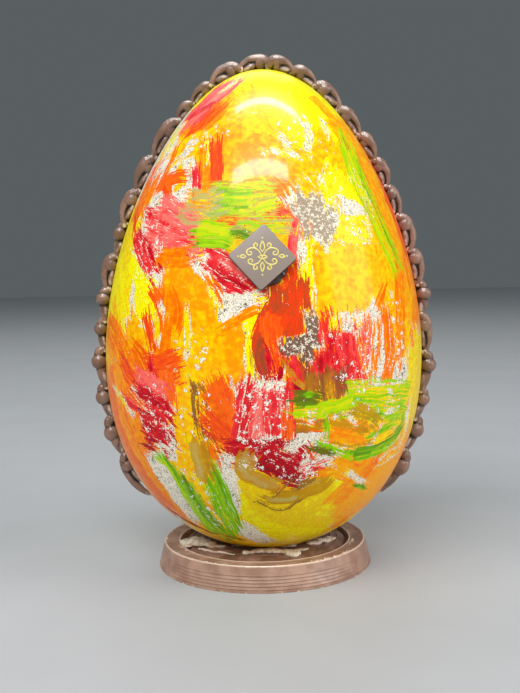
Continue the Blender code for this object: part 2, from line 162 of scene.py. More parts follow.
FRONT_STROKES = (
    # grounds of lemon and gold
    ("gold", 0.45, 84, 2.2, (0, 232), (2, 180), (2, 120), (0, 70)),
    ("gold", 0.30, 60, 2.0, (-40, 26), (0, 12), (44, 30)),
    ("lemon", 0.25, 50, 1.9, (-16, 250), (12, 249), (34, 232), (50, 210)),
    ("lemon", 0.45, 30, 1.9, (8, 236), (20, 222), (32, 212)),
    ("gold", 0.20, 23, 1.9, (-10, 242), (-7, 226), (-5, 212)),
    ("gold", 0.75, 13, 1.7, (-15, 226), (-14, 212), (-14, 200)),
    ("gold", 0.80, 18, 1.7, (0, 220), (8, 208), (16, 200)),
    ("gold", 0.60, 18, 1.7, (12, 212), (24, 204), (30, 196)),
    ("gold", 0.40, 20, 1.7, (39, 218), (37, 206), (35, 196)),
    ("gold", 0.80, 11, 1.5, (48, 224), (58, 205), (62, 194)),
    ("lemon", 0.60, 14, 1.6, (36, 202), (44, 194), (54, 186)),
    ("gold", 0.45, 48, 1.9, (48, 182), (49, 154), (50, 130)),
    ("gold", 0.80, 14, 1.8, (66, 172), (73, 150), (77, 126)),
    ("gold", 0.55, 16, 1.7, (72, 132), (75, 108)),
    ("gold", 0.15, 12, 1.9, (78, 112), (79, 92), (76, 72)),
    ("gold", 0.10, 20, 1.8, (-20, 190), (10, 190)),
    ("lemon", 0.55, 17, 1.0, (-66, 178), (-71, 152), (-74, 128)),
    ("lemon", 0.35, 15, 1.0, (-60, 154), (-60, 130)),
    ("gold", 0.55, 20, 1.3, (-72, 132), (-66, 118), (-60, 106)),
    ("gold", 0.98, 29, 1.9, (-37, 162), (-37, 138), (-38, 120)),
    ("gold", 0.90, 28, 1.9, (-16, 142), (-16, 114), (-16, 88)),
    ("gold", 0.45, 21, 1.8, (-37, 124), (-37, 90), (-36, 48)),
    ("lemon", 0.85, 3, 1.3, (-38, 134), (-38, 112)),
    ("orange", 0.40, 11, 1.5, (-49, 142), (-50, 124), (-52, 108)),
    ("orange", 0.50, 6, 1.1, (-46, 144), (-42, 134), (-44, 124)),
    ("orange", 0.40, 12, 1.9, (-80, 100), (-75, 72), (-66, 54), (-54, 38), (-44, 27)),
    ("orange", 0.45, 9, 1.7, (-72, 84), (-66, 70), (-61, 62)),
    ("lemon", 1.0, 44, 1.9, (-12, 50), (-4, 30), (10, 20), (36, 18)),
    ("lemon", 0.95, 26, 1.8, (38, 50), (34, 34), (26, 24)),
    ("orange", 0.12, 20, 1.8, (42, 56), (56, 48), (64, 42)),
    ("orange", 0.08, 10, 1.6, (67, 52), (60, 38), (46, 24), (36, 16)),
    # both flanks, wide because the shell turns away there
    ("lemon", 0.60, 46, 1.7, (-62, 184), (-70, 165), (-76, 142), (-78, 122)),
    ("gold", 0.50, 46, 1.6, (-78, 128), (-78, 108), (-77, 94)),
    ("orange", 0.50, 40, 1.9, (-77, 98), (-74, 76), (-67, 58), (-56, 40), (-45, 27)),
    ("lemon", 0.45, 10, 0.6, (-70, 168), (-72, 146), (-70, 130)),
    ("gold", 0.70, 46, 1.9, (46, 228), (60, 204), (70, 180), (78, 154), (81, 132)),
    ("orange", 0.25, 16, 1.1, (54, 216), (65, 194), (75, 166)),
    ("orange", 0.30, 30, 1.5, (79, 156), (82, 138), (83, 118), (82, 106)),
    ("lemon", 0.85, 36, 1.9, (83, 118), (83, 98), (80, 80), (76, 70)),
    ("orange", 0.15, 48, 1.8, (76, 68), (70, 54), (60, 38), (48, 26)),
    # the upper left edge
    ("orange", 0.45, 16, 1.5, (-18, 239), (-28, 229), (-37, 220)),
    ("scarlet", 0.15, 5, 0.6, (-19, 235), (-34, 223)),
    ("crimson", 0.15, 17, 1.5, (-12, 249), (-23, 240), (-35, 229)),
    ("crimson", 0.42, 3.5, 0.9, (-22, 238), (-33, 232)),
    ("white", 0.0, 2.0, 0.6, (-9, 249), (-17, 244)),
    ("gold", 0.35, 11, 1.6, (-23, 219), (-34, 218), (-43, 211)),
    ("scarlet", 0.25, 7, 1.3, (-22, 218), (-22, 206), (-22, 195)),
    ("orange", 0.35, 5, 1.8, (-27, 217), (-27, 206), (-27, 195)),
    ("lemon", 0.50, 1.5, 1.4, (-26, 223), (-25, 215), (-25, 208)),
    ("white", 0.0, 6, 1.1, (-38, 228), (-44, 218), (-50, 208)),
    ("lemon", 0.35, 1.6, 0.9, (-38, 226), (-45, 215)),
    ("white", 0.0, 5, 1.0, (-51, 207), (-56, 197), (-61, 187)),
    ("lemon", 0.20, 5, 0.2, (-40, 226), (-51, 207)),
    ("gold", 0.10, 4, 0.3, (-46, 217), (-54, 202)),
    ("crimson", 0.05, 9, 0.1, (-50, 209), (-61, 188)),
    ("orange", 0.55, 3, 1.5, (-41, 215), (-45, 207), (-49, 200)),
    ("white", 0.0, 5, 1.3, (-33, 218), (-39, 210)),
    ("white", 0.0, 2.2, 1.4, (-40, 209), (-48, 200)),
    ("white", 0.0, 7, 1.3, (-36, 211), (-33, 203), (-34, 195)),
    ("white", 0.0, 7, 1.3, (-34, 195), (-44, 189), (-56, 186)),
    ("white", 0.0, 6, 1.1, (-57, 188), (-59, 174)),
    ("gold", 0.60, 2.5, 1.2, (-35, 212), (-30, 214)),
    ("crimson", 0.22, 4.5, 1.2, (-31, 207), (-31, 198), (-31, 190)),
    ("scarlet", 0.0, 8, 1.7, (-38, 202), (-44, 200), (-51, 197)),
    ("scarlet", 0.08, 5, 1.5, (-47, 199), (-46, 191)),
    ("orange", 0.55, 16, 1.1, (-54, 200), (-61, 186), (-66, 172)),
    ("lemon", 0.70, 24, 1.2, (-65, 176), (-70, 162)),
    # crimson at the left
    ("orange", 0.20, 14, 1.3, (-36, 188), (-22, 187)),
    ("gold", 0.30, 16, 1.5, (-28, 184), (-14, 184)),
    ("white", 0.0, 22, 0.7, (-60, 176), (-46, 174), (-36, 169)),
    ("white", 0.0, 12, 0.7, (-62, 168), (-57, 158), (-53, 150)),
    ("crimson", 0.40, 6, 0.9, (-57, 183), (-48, 180), (-38, 178)),
    ("crimson", 0.05, 12, 1.0, (-50, 186), (-38, 180), (-27, 171)),
    ("crimson", 0.28, 13, 1.0, (-57, 176), (-46, 171), (-33, 165)),
    ("crimson", 0.42, 10, 0.8, (-63, 173), (-58, 161), (-53, 152)),
    ("crimson", 0.08, 6, 1.2, (-48, 170), (-30, 165)),
    ("scarlet", 0.30, 3, 0.9, (-62, 184), (-64, 174)),
    ("orange", 0.45, 10, 1.8, (-52, 161), (-36, 161)),
    ("lemon", 0.10, 7, 0.5, (-66, 160), (-62, 150), (-56, 146)),
    # the left side
    ("scarlet", 0.35, 5, 1.0, (-59, 131), (-57, 122), (-56, 114)),
    ("scarlet", 0.05, 5, 1.0, (-56, 144), (-52, 135)),
    ("white", 0.0, 4, 1.3, (-52, 137), (-50, 130)),
    ("lemon", 0.80, 3.5, 1.2, (-53, 131), (-54, 119)),
    ("orange", 0.50, 18, 0.7, (-79, 124), (-71, 106), (-60, 90)),
    ("orange", 0.65, 12, 0.8, (-66, 114), (-58, 98)),
    ("scarlet", 0.25, 7, 0.6, (-73, 108), (-66, 96), (-57, 88)),
    ("scarlet", 0.20, 9, 1.2, (-59, 106), (-50, 106), (-43, 109)),
    ("scarlet", 0.10, 8, 1.2, (-58, 99), (-50, 98), (-44, 99)),
    ("scarlet", 0.02, 8, 1.6, (-50, 101), (-49, 94), (-48, 86)),
    ("white", 0.0, 11, 0.4, (-66, 92), (-56, 86), (-51, 80)),
    ("white", 0.0, 11, 0.4, (-62, 78), (-55, 70), (-52, 62)),
    ("crimson", 0.38, 4, 0.9, (-58, 108), (-56, 100), (-53, 94)),
    ("crimson", 0.12, 9, 0.8, (-65, 99), (-58, 95), (-51, 91)),
    ("crimson", 0.45, 10, 1.3, (-66, 91), (-57, 86), (-50, 80)),
    ("crimson", 0.38, 4.5, 1.0, (-71, 87), (-62, 81)),
    ("crimson", 0.55, 10, 1.4, (-64, 82), (-56, 78), (-50, 74)),
    ("crimson", 0.58, 9, 1.3, (-63, 76), (-55, 71), (-50, 67)),
    ("crimson", 0.60, 7, 1.2, (-62, 69), (-54, 64), (-50, 61)),
    ("crimson", 0.72, 2.4, 1.3, (-62, 63), (-51, 58)),
    ("orange", 0.70, 4, 0.8, (-69, 91), (-61, 83)),
    ("white", 0.0, 2.2, 1.6, (-57, 63), (-52, 61), (-46, 61)),
    ("white", 0.0, 2.8, 0.9, (-77, 94), (-72, 86), (-68, 79)),
    ("lemon", 0.80, 2.4, 1.1, (-75, 91), (-71, 82)),
    ("veil", 0.85, 8, 0.3, (-33, 92), (-32, 78), (-30, 66)),
    ("veil", 0.50, 11, 1.0, (-34, 63), (-32, 52), (-30, 42)),
    # the orange fan
    ("orange", 0.75, 12, 0.9, (-27, 92), (-19, 80), (-13, 68)),
    ("scarlet", 0.02, 10, 1.1, (-22, 94), (-15, 80), (-13, 62)),
    ("scarlet", 0.18, 9, 0.8, (-31, 79), (-22, 68), (-14, 58)),
    ("scarlet", 0.40, 5, 0.6, (-31, 72), (-20, 60)),
    ("scarlet", 0.0, 5, 1.6, (-13, 90), (-12, 62)),
    ("orange", 0.60, 7, 1.1, (-26, 62), (-21, 52)),
    # left of and under the plaque
    ("white", 0.0, 16, 1.3, (-27, 161), (-17, 152), (-6, 143)),
    ("crimson", 0.30, 11, 0.8, (-25, 161), (-15, 154), (-4, 146)),
    ("crimson", 0.42, 9, 0.8, (-24, 152), (-14, 146), (-2, 141)),
    ("crimson", 0.25, 4, 0.6, (-28, 166), (-16, 160)),
    ("orange", 0.60, 4, 0.8, (-26, 150), (-20, 141)),
    ("lemon", 0.60, 3, 0.9, (-25, 146), (-22, 134)),
    ("white", 0.0, 10, 1.6, (-19, 136), (-10, 136), (0, 138)),
    ("white", 0.0, 7, 1.5, (-17, 135), (-16, 128)),
    ("lemon", 0.50, 9, 1.5, (-9, 125), (-2, 126)),
    ("lemon", 0.45, 8, 1.5, (0, 131), (-3, 120), (-4, 109)),
    ("lemon", 0.70, 4, 1.4, (-5, 112), (-5, 98)),
    ("orange", 0.30, 3.8, 1.9, (-19, 124), (-12, 128), (-6, 132), (0, 133)),
    ("lemon", 0.60, 6, 1.2, (1, 137), (12, 136)),
    # right of the plaque
    ("crimson", 0.14, 6, 1.7, (21, 182), (19, 170), (18, 160), (20, 152)),
    ("crimson", 0.14, 1.8, 1.5, (22, 177), (29, 176)),
    ("scarlet", 0.32, 11, 1.2, (17, 157), (19, 146), (20, 136)),
    ("scarlet", 0.15, 5, 0.7, (3, 142), (14, 143), (23, 146)),
    ("lemon", 0.55, 6, 1.6, (24, 164), (23, 150), (25, 138)),
    ("white", 0.0, 4, 1.2, (22, 169), (22, 157)),
    # the dull red ground and its streaks
    ("scarlet", 0.66, 18, 1.7, (15, 143), (16, 122), (14, 106)),
    ("scarlet", 0.72, 12, 1.6, (10, 134), (3, 120), (2, 108)),
    ("scarlet", 0.72, 17, 1.7, (8, 118), (8, 104), (11, 90)),
    ("scarlet", 0.66, 22, 1.7, (24, 112), (26, 102), (28, 92)),
    ("scarlet", 0.95, 5, 1.1, (2, 120), (-1, 106), (3, 95)),
    ("scarlet", 0.25, 9, 0.5, (5, 130), (7, 112), (11, 96)),
    ("crimson", 0.55, 10, 0.8, (7, 99), (6, 91), (5, 84)),
    ("crimson", 0.45, 3, 0.8, (3, 112), (6, 100)),
    ("crimson", 0.55, 3.5, 1.3, (11, 105), (12, 89)),
    ("white", 0.0, 1.3, 1.1, (12, 102), (13, 86)),
    ("crimson", 0.35, 4, 0.7, (16, 107), (19, 96)),
    ("crimson", 0.50, 6, 1.3, (15, 92), (21, 90)),
    ("veil", 0.50, 2.4, 1.5, (13, 103), (17, 96), (23, 91)),
    ("scarlet", 0.20, 11, 1.0, (33, 128), (36, 112), (38, 98)),
    ("white", 0.0, 16, 0.8, (44, 122), (46, 108), (49, 94)),
    ("scarlet", 0.30, 15, 0.9, (45, 122), (46, 108), (49, 93)),
    ("crimson", 0.28, 17, 0.9, (40, 124), (42, 108), (46, 92)),
    ("crimson", 0.40, 6, 0.8, (37, 120), (39, 106), (43, 92)),
    ("crimson", 0.42, 6, 0.8, (45, 121), (47, 104), (49, 92)),
    ("crimson", 0.45, 7, 1.0, (31, 109), (33, 97)),
    ("white", 0.0, 8, 1.5, (42, 125), (50, 123)),
    ("white", 0.0, 6, 1.4, (51, 129), (55, 122)),
    ("lemon", 0.60, 4.5, 1.3, (38, 129), (39, 121)),
    ("gold", 0.40, 2.4, 1.3, (50, 126), (53, 124)),
    ("white", 0.0, 13, 0.9, (60, 130), (60, 112), (57, 97)),
    ("orange", 0.35, 12, 0.2, (58, 124), (57, 98)),
    ("crimson", 0.05, 5, 0.2, (54, 124), (55, 106)),
    ("orange", 0.50, 7, 0.9, (66, 130), (68, 112), (66, 95)),
    ("orange", 0.40, 9, 0.6, (72, 152), (73, 128), (72, 106)),
    ("orange", 0.60, 4, 0.6, (61, 134), (64, 142)),
    # greens on the right
    ("veil", 0.95, 18, 0.8, (36, 98), (36, 90), (37, 83)),
    ("green", 0.95, 8, 1.3, (17, 85), (23, 85), (30, 84)),
    ("green", 0.35, 2, 1.4, (23, 88), (26, 88)),
    ("gold", 0.20, 20, 1.6, (46, 81), (60, 80), (74, 82)),
    ("gold", 0.20, 12, 1.6, (46, 64), (58, 62), (70, 68)),
    ("green", 0.28, 8, 1.1, (25, 77), (36, 80), (50, 85)),
    ("green", 0.22, 17, 0.3, (47, 85), (60, 84), (75, 84)),
    ("green", 0.32, 5, 0.7, (59, 76), (73, 77)),
    ("veil", 0.50, 9, 0.9, (48, 77), (56, 75), (60, 72)),
    ("orange", 0.20, 12, 1.5, (36, 68), (46, 67), (55, 66)),
    ("veil", 0.50, 6, 1.1, (37, 74), (46, 72), (54, 69)),
    ("veil", 0.55, 4.5, 1.1, (37, 60), (48, 58), (57, 60)),
    ("green", 0.58, 4.5, 1.1, (43, 56), (56, 57), (66, 61), (73, 69)),
    ("green", 0.30, 2.2, 1.0, (50, 53), (60, 56), (70, 62)),
    ("green", 0.28, 3, 1.1, (32, 61), (38, 57), (46, 54)),
    ("green", 0.30, 4, 1.0, (30, 76), (34, 71), (33, 65)),
    ("green", 0.30, 3, 0.7, (58, 66), (70, 72)),
    ("white", 0.0, 5, 1.2, (76, 79), (75, 68), (72, 60)),
    ("lemon", 0.40, 1.8, 0.8, (77, 76), (73, 61)),
    ("white", 0.0, 2.6, 1.5, (45, 76), (49, 72)),
    ("white", 0.0, 2.4, 1.3, (63, 71), (58, 64)),
    ("orange", 0.40, 1.4, 1.3, (61, 69), (59, 66)),
    ("white", 0.0, 3, 1.3, (67, 89), (67, 86)),
    ("white", 0.0, 2.4, 1.1, (69, 78), (63, 76)),
    ("white", 0.0, 2.4, 1.2, (36, 76), (39, 76)),
    ("orange", 0.70, 9, 1.3, (13, 72), (22, 72), (31, 70)),
    ("veil", 0.75, 8, 0.6, (14, 72), (22, 72), (31, 70)),
    ("green", 0.10, 4, 0.9, (14, 78), (31, 77)),
    ("white", 0.0, 3, 1.3, (24, 78), (27, 78)),
    ("white", 0.0, 3, 1.3, (24, 74), (26, 73)),
    ("gold", 0.55, 6, 0.9, (62, 52), (70, 56), (74, 64)),
    # reds of the lower middle
    ("white", 0.0, 26, 1.5, (-1, 94), (0, 78), (1, 62)),
    ("crimson", 0.22, 18, 0.8, (1, 90), (-3, 76), (-6, 63)),
    ("crimson", 0.14, 12, 0.9, (4, 86), (0, 74), (-2, 62)),
    ("crimson", 0.34, 12, 1.0, (8, 90), (8, 76), (8, 61)),
    ("scarlet", 0.10, 5, 0.8, (13, 80), (12, 64)),
    ("white", 0.0, 16, 0.6, (-2, 57), (10, 52), (22, 47)),
    ("crimson", 0.60, 9, 1.4, (-17, 60), (-6, 60), (4, 59), (13, 58)),
    ("crimson", 0.64, 16, 1.2, (-3, 57), (8, 51), (21, 45)),
    ("crimson", 0.60, 8, 1.2, (19, 59), (25, 52), (27, 46)),
    ("crimson", 0.50, 5, 0.8, (-21, 57), (-13, 52)),
    ("white", 0.0, 6, 1.3, (14, 58), (20, 64), (33, 65)),
    ("white", 0.0, 6, 1.0, (22, 49), (28, 54), (37, 53)),
    ("crimson", 0.06, 5, 0.4, (21, 48), (31, 50)),
    ("scarlet", 0.35, 4, 1.5, (24, 58), (27, 55)),
    ("green", 0.98, 3, 1.1, (28, 59), (35, 57)),
    # greens at the lower left
    ("white", 0.0, 14, 1.7, (-58, 58), (-51, 45), (-43, 33), (-33, 20)),
    ("white", 0.0, 11, 1.6, (-24, 52), (-16, 48)),
    ("white", 0.0, 8, 1.5, (-20, 48), (-18, 36), (-17, 27)),
    ("white", 0.0, 9, 1.6, (-13, 19), (-6, 13), (1, 10)),
    ("green", 0.0, 3, 0.9, (-54, 55), (-47, 49)),
    ("gold", 0.30, 6, 1.0, (-40, 46), (-32, 33)),
    ("green", 0.38, 6, 0.9, (-49, 52), (-44, 42), (-36, 28), (-26, 15)),
    ("green", 0.50, 6, 0.9, (-40, 42), (-34, 30), (-22, 14)),
    ("green", 0.45, 5, 0.9, (-36, 33), (-28, 20), (-19, 12)),
    ("green", 0.42, 7, 0.8, (-28, 41), (-23, 28), (-16, 14)),
    ("green", 0.50, 5, 0.9, (-25, 48), (-20, 34), (-14, 18)),
    ("crimson", 0.95, 2.8, 1.3, (-51, 29), (-40, 21), (-28, 15), (-17, 12)),
    # scallops of thin brown over the yellow foot
    ("orange", 0.15, 5, 1.3, (-9, 47), (0, 41), (9, 37)),
    ("veil", 0.50, 9, 1.9, (-8, 56), (-10, 49), (-4, 43), (7, 39)),
    ("veil", 0.55, 9, 1.9, (3, 34), (10, 33), (20, 35)),
    ("veil", 0.85, 1.4, 1.6, (0, 30), (6, 27), (13, 28), (19, 32)),
    ("veil", 0.98, 1.4, 1.6, (5, 33), (9, 38), (14, 42)),
    ("veil", 0.52, 9, 1.9, (19, 37), (27, 38), (34, 43)),
    ("veil", 1.0, 4, 1.5, (17, 39), (24, 42), (29, 46)),
    ("orange", 0.20, 4, 1.4, (27, 46), (36, 47)),
    ("white", 0.0, 3, 1.5, (45, 46), (53, 40)),
    ("green", 0.55, 1.8, 1.5, (50, 39), (53, 38)),
    # greens above the plaque
    ("veil", 0.35, 18, 0.5, (-21, 190), (-4, 190), (10, 189)),
    ("green", 0.12, 17, 0.35, (-20, 190), (-4, 190), (11, 188)),
    ("green", 0.35, 4, 0.6, (-20, 194), (-2, 193)),
    ("green", 0.40, 4, 0.6, (-19, 187), (-2, 186)),
    ("green", 0.30, 5, 0.9, (-22, 183), (-13, 182)),
    ("veil", 0.0, 13, 0.3, (-35, 188), (-26, 188), (-20, 190)),
    ("veil", 0.05, 8, 0.3, (-39, 183), (-28, 180)),
    ("veil", 0.30, 9, 0.3, (-2, 184), (12, 188)),
    ("green", 0.05, 9, 0.1, (-2, 184), (12, 188)),
    ("scarlet", 0.15, 5, 0.7, (-18, 179), (-4, 178), (9, 180)),
    ("green", 0.22, 11, 0.8, (-31, 174), (-22, 173), (-14, 171)),
    ("green", 0.35, 6, 0.9, (-29, 168), (-16, 167)),
    ("orange", 0.50, 8, 1.1, (10, 197), (16, 190), (19, 182)),
    ("scarlet", 0.05, 6, 0.8, (11, 187), (19, 181)),
    ("crimson", 0.20, 5, 1.0, (8, 181), (16, 180)),
    ("veil", 0.12, 9, 0.5, (-8, 177), (4, 175), (15, 175)),
    ("green", 0.10, 8, 0.2, (-8, 178), (4, 176), (13, 176)),
    ("green", 0.60, 4, 0.4, (-13, 174), (-6, 171)),
    # the right side of the top
    ("lemon", 0.90, 16, 0.8, (4, 236), (14, 226), (24, 218)),
    ("white", 0.0, 4, 0.6, (8, 214), (12, 213)),
    ("white", 0.0, 3, 0.7, (17, 212), (21, 212)),
    ("white", 0.0, 4, 0.1, (13, 221), (16, 215)),
    ("white", 0.0, 4, 0.4, (24, 229), (27, 221), (26, 214)),
    ("white", 0.0, 3, 0.2, (34, 228), (37, 219)),
    ("white", 0.0, 3, 0.7, (32, 201), (34, 195)),
    ("white", 0.0, 10, 1.3, (42, 186), (49, 183), (55, 179)),
    ("lemon", 0.55, 12, 1.4, (37, 178), (46, 173), (56, 173)),
    ("white", 0.0, 20, 1.0, (20, 193), (27, 183), (36, 174)),
    ("bare", 0.0, 10, 1.6, (19, 192), (24, 184), (29, 175)),
    ("bare", 0.0, 13, 1.5, (29, 187), (35, 180), (31, 170)),
    ("bare", 0.0, 5, 1.3, (22, 172), (27, 170)),
    ("gold", 0.40, 8, 1.8, (24, 199), (28, 192)),
    ("lemon", 0.60, 6, 1.4, (34, 197), (37, 186)),
    ("white", 0.0, 4, 1.1, (14, 188), (19, 190)),
    ("bare", 0.0, 7, 1.6, (25, 131), (27, 124), (28, 114)),
    ("bare", 0.0, 8, 1.6, (11, 113), (20, 114), (31, 116)),
    ("bare", 0.0, 7, 1.5, (21, 110), (25, 105)),
    ("green", 0.05, 6, 0.5, (44, 221), (48, 209)),
    ("veil", 0.40, 11, 0.4, (48, 212), (55, 193), (62, 176), (70, 158)),
    ("green", 0.0, 10, 0.5, (48, 212), (55, 193), (62, 176), (69, 158)),
    ("green", 0.10, 4, 0.5, (44, 215), (50, 197), (57, 183), (64, 166), (70, 153)),
    ("green", 0.22, 5, 0.5, (51, 207), (58, 190), (65, 174), (73, 155)),
    ("scarlet", 0.08, 24, 1.3, (62.5, 198), (71, 182), (78, 158)),
    ("orange", 0.55, 4, 0.9, (75, 158), (78, 142)),
)

# How many flecks the brush left: amount, width, then points as above.
FRONT_FLECKS = (
    (0.62, 26, (16, 230), (26, 212)), (0.06, 30, (-12, 232), (2, 200)),
    (0.03, 40, (42, 160), (52, 136)), (0.03, 26, (-22, 140), (-20, 96)),
    (0.03, 22, (-38, 158), (-40, 140)), (0.06, 14, (-77, 84), (-60, 44)),
    (0.08, 36, (-2, 26), (34, 20)), (0.60, 22, (-60, 180), (-54, 154)),
    (0.70, 20, (-62, 90), (-53, 62)), (0.90, 15, (-6, 55), (26, 47)),
    (0.80, 24, (0, 90), (-1, 62)), (0.62, 18, (-36, 122), (-36, 68)),
    (0.55, 14, (40, 204), (36, 190)), (0.75, 16, (36, 176), (54, 172)),
    (0.60, 10, (33, 166), (40, 164)), (0.70, 14, (55, 126), (60, 98)),
    (0.80, 14, (70, 136), (72, 98)), (0.70, 18, (50, 88), (72, 84)),
    (0.70, 10, (64, 54), (74, 62)), (0.55, 12, (-28, 220), (-15, 226)),
    (0.65, 14, (40, 118), (46, 96)), (0.70, 14, (-40, 46), (-24, 20)),
    (0.45, 14, (44, 44), (48, 32)), (0.30, 20, (-68, 168), (-70, 130)),
    (0.35, 16, (-74, 114), (-62, 96)),
)


def linear(hex_colour, alpha=1.0):
    """An sRGB hex colour as the linear values that shaders take."""
    values = []
    for start in (0, 2, 4):
        part = int(hex_colour[start:start + 2], 16) / 255.0
        values.append(part / 12.92 if part <= 0.04045 else ((part + 0.055) / 1.055) ** 2.4)
    return (*values, alpha)


# ---- the egg's outline -------------------------------------------------------

def egg_point(angle, offset=0.0):
    """(radius, height from the foot) at an angle from the tip, in mm."""
    cos_a = math.cos(angle)
    sin_a = math.sin(angle)
    swell = 1.0 + EGG_TAPER * cos_a
    d_radius = EGG_GIRTH * (cos_a * swell - EGG_TAPER * sin_a * sin_a)
    d_height = -EGG_HALF_HEIGHT * sin_a
    length = math.hypot(d_radius, d_height)
    return Vector((
        EGG_GIRTH * sin_a * swell - d_height / length * offset,
        EGG_HALF_HEIGHT * (1.0 + cos_a) + d_radius / length * offset,
    ))


def seam_table(steps=720):
    """Distances from the tip and their angles along the outline."""
    distances = [0.0]
    angles = [math.pi * i / steps for i in range(steps + 1)]
    points = [egg_point(angle) for angle in angles]
    for before, after in zip(points, points[1:]):
        distances.append(distances[-1] + (after - before).length)
    return distances, angles


SEAM_DISTANCES, SEAM_ANGLES = seam_table()


def seam_place(distance, height, side, forward=0.0):
    """A point by the seam in the egg's own frame, in mm.

    distance runs from the tip down the side, height stands off the egg, and
    forward comes towards the front.
    """
    angle = float(np.interp(abs(distance), SEAM_DISTANCES, SEAM_ANGLES))
    point = egg_point(angle, height)
    x = point.x * side * (1.0 if distance >= 0.0 else -1.0)
    return Vector((x, -forward, point.y))


def egg_to_world():
    """The egg's own frame in mm to the model's frame in metres."""
    return (
        Matrix.Translation((0.0, 0.0, EGG_FOOT_Z * MM))
        @ Matrix.Rotation(math.radians(EGG_LEAN_DEG), 4, "Y")
        @ Matrix.Scale(MM, 4)
    )


# ---- mesh and material tools --------------------------------------------------

def new_piece(name, bm, material, replaced=(), angle=35.0, place=None):
    """A finished piece from a bmesh: in its place, shaded, dressed and riding."""
    if place is not None:
        bmesh.ops.transform(bm, matrix=place, verts=bm.verts)
    bmesh.ops.recalc_face_normals(bm, faces=bm.faces)
    mesh = bpy.data.meshes.new(name)
    bm.to_mesh(mesh)
    bm.free()
    mesh.shade_smooth()
    mesh.set_sharp_from_angle(angle=math.radians(angle))
    mesh.materials.append(material)
    piece = bpy.data.objects.new(name, mesh)
    bpy.context.scene.collection.objects.link(piece)
    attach(piece, "root")
    if replaced:
        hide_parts(*replaced)
    return piece


def turned(outline, angle, steps, join, closed=False):
    """A bmesh spun about the upright axis from (radius, height) points."""
    bm = bmesh.new()
    verts = [bm.verts.new((radius, 0.0, height)) for radius, height in outline]
    follow = verts[1:] + verts[:1] if closed else verts[1:]
    edges = [bm.edges.new(pair) for pair in zip(verts, follow)]
    bmesh.ops.spin(
        bm, geom=verts + edges, cent=(0.0, 0.0, 0.0), axis=(0.0, 0.0, 1.0),
        angle=angle, steps=steps, use_merge=abs(angle) > math.pi,
    )
    bmesh.ops.remove_doubles(bm, verts=bm.verts, dist=join)
    return bm


def mesh_arrays(mesh):
    """Places in mm and normals of a mesh's points."""
    arrays = []
    for field_name in ("co", "normal"):
        flat = np.empty(len(mesh.vertices) * 3)
        mesh.vertices.foreach_get(field_name, flat)
        arrays.append(flat.reshape(-1, 3))
    return arrays[0] / MM, arrays[1]


def store(mesh, name, kind, values):
    """Values kept at a mesh's points as an attribute, FLOAT or FLOAT_COLOR."""
    data = mesh.attributes.new(name, kind, "POINT")
    key = "value" if kind == "FLOAT" else "color"
    data.data.foreach_set(key, np.asarray(values).astype(np.float32).ravel())


def add_node(tree, kind, links=(), output=0, stops=(), **settings):
    """One node with its settings and its inputs; gives one of its outputs.

    Inputs go by number or by name, text is a hex colour, stops are a ramp's,
    and an output of None gives them all.
    """
    node = tree.nodes.new("ShaderNode" + kind)
    for key, value in settings.items():
        setattr(node, key, value)
    for key, value in links.items() if isinstance(links, dict) else enumerate(links):
        if isinstance(value, bpy.types.NodeSocket):
            tree.links.new(value, node.inputs[key])
        else:
            value = linear(value) if isinstance(value, str) else value
            node.inputs[key].default_value = value
    for _ in stops[2:]:
        node.color_ramp.elements.new(0.5)
    for i, (position, colour) in enumerate(stops):
        node.color_ramp.elements[i].position = position
        node.color_ramp.elements[i].color = linear(colour)
    return node.outputs if output is None else node.outputs[output]


# A map range that runs smoothly from 0 at one value to 1 at another.
SMOOTH = {"interpolation_type": "SMOOTHSTEP"}


def sized(vector, size_mm, **more):
    """Inputs of a texture whose features are about size_mm across."""
    return {"Vector": vector, "Scale": 1.0 / size_mm, **more}


def swung(tree, value, noise, amount, clamp=False):
    """A value moved up and down by a noise that runs from 0 to 1."""
    swing = add_node(tree, "Math", (noise, 0.5), operation="SUBTRACT")
    swing = add_node(tree, "Math", (swing, amount), operation="MULTIPLY")
    return add_node(tree, "Math", (value, swing), operation="ADD", use_clamp=clamp)


def coated(tree, ground, *coats):
    """A colour under coats of other colours, each given after its cover."""
    for cover, colour in coats:
        ground = add_node(tree, "Mix", {0: cover, 6: ground, 7: colour}, 2, data_type="RGBA")
    return ground


def in_mm(tree):
    """Object coordinates counted in millimetres."""
    place = add_node(tree, "TexCoord", output="Object")
    return add_node(tree, "VectorMath", {0: place, "Scale": 1.0 / MM}, operation="SCALE")


def wobbled(tree, vector, size_mm, amount_mm):
    """The vector pushed about by noise, so that what is drawn there is ragged."""
    push = add_node(tree, "TexNoise", sized(vector, size_mm, Roughness=0.6), "Color")
    push = add_node(tree, "VectorMath", (push, (0.5, 0.5, 0.5)), operation="SUBTRACT")
    push = add_node(
        tree, "VectorMath", {0: push, "Scale": 2.0 * amount_mm}, operation="SCALE",
    )
    return add_node(tree, "VectorMath", (vector, push), operation="ADD")


def new_material(name, roughness, ior=1.46, coat=0.0, coat_roughness=0.1):
    material = bpy.data.materials.new(name)
    material.use_nodes = True
    shader = material.node_tree.nodes["Principled BSDF"]
    for key, value in (
        ("Roughness", roughness), ("IOR", ior),
        ("Coat Weight", coat), ("Coat Roughness", coat_roughness),
    ):
        shader.inputs[key].default_value = value
    return material, material.node_tree, shader


def finish(tree, shader, colour, height=None, relief_mm=0.0, strength=1.0):
    """The shader's colour, and the fine relief of its surface."""
    tree.links.new(colour, shader.inputs["Base Color"])
    if height is not None:
        relief = {"Height": height, "Distance": relief_mm * MM, "Strength": strength}
        tree.links.new(add_node(tree, "Bump", relief), shader.inputs["Normal"])


# ---- painting the shell --------------------------------------------------------

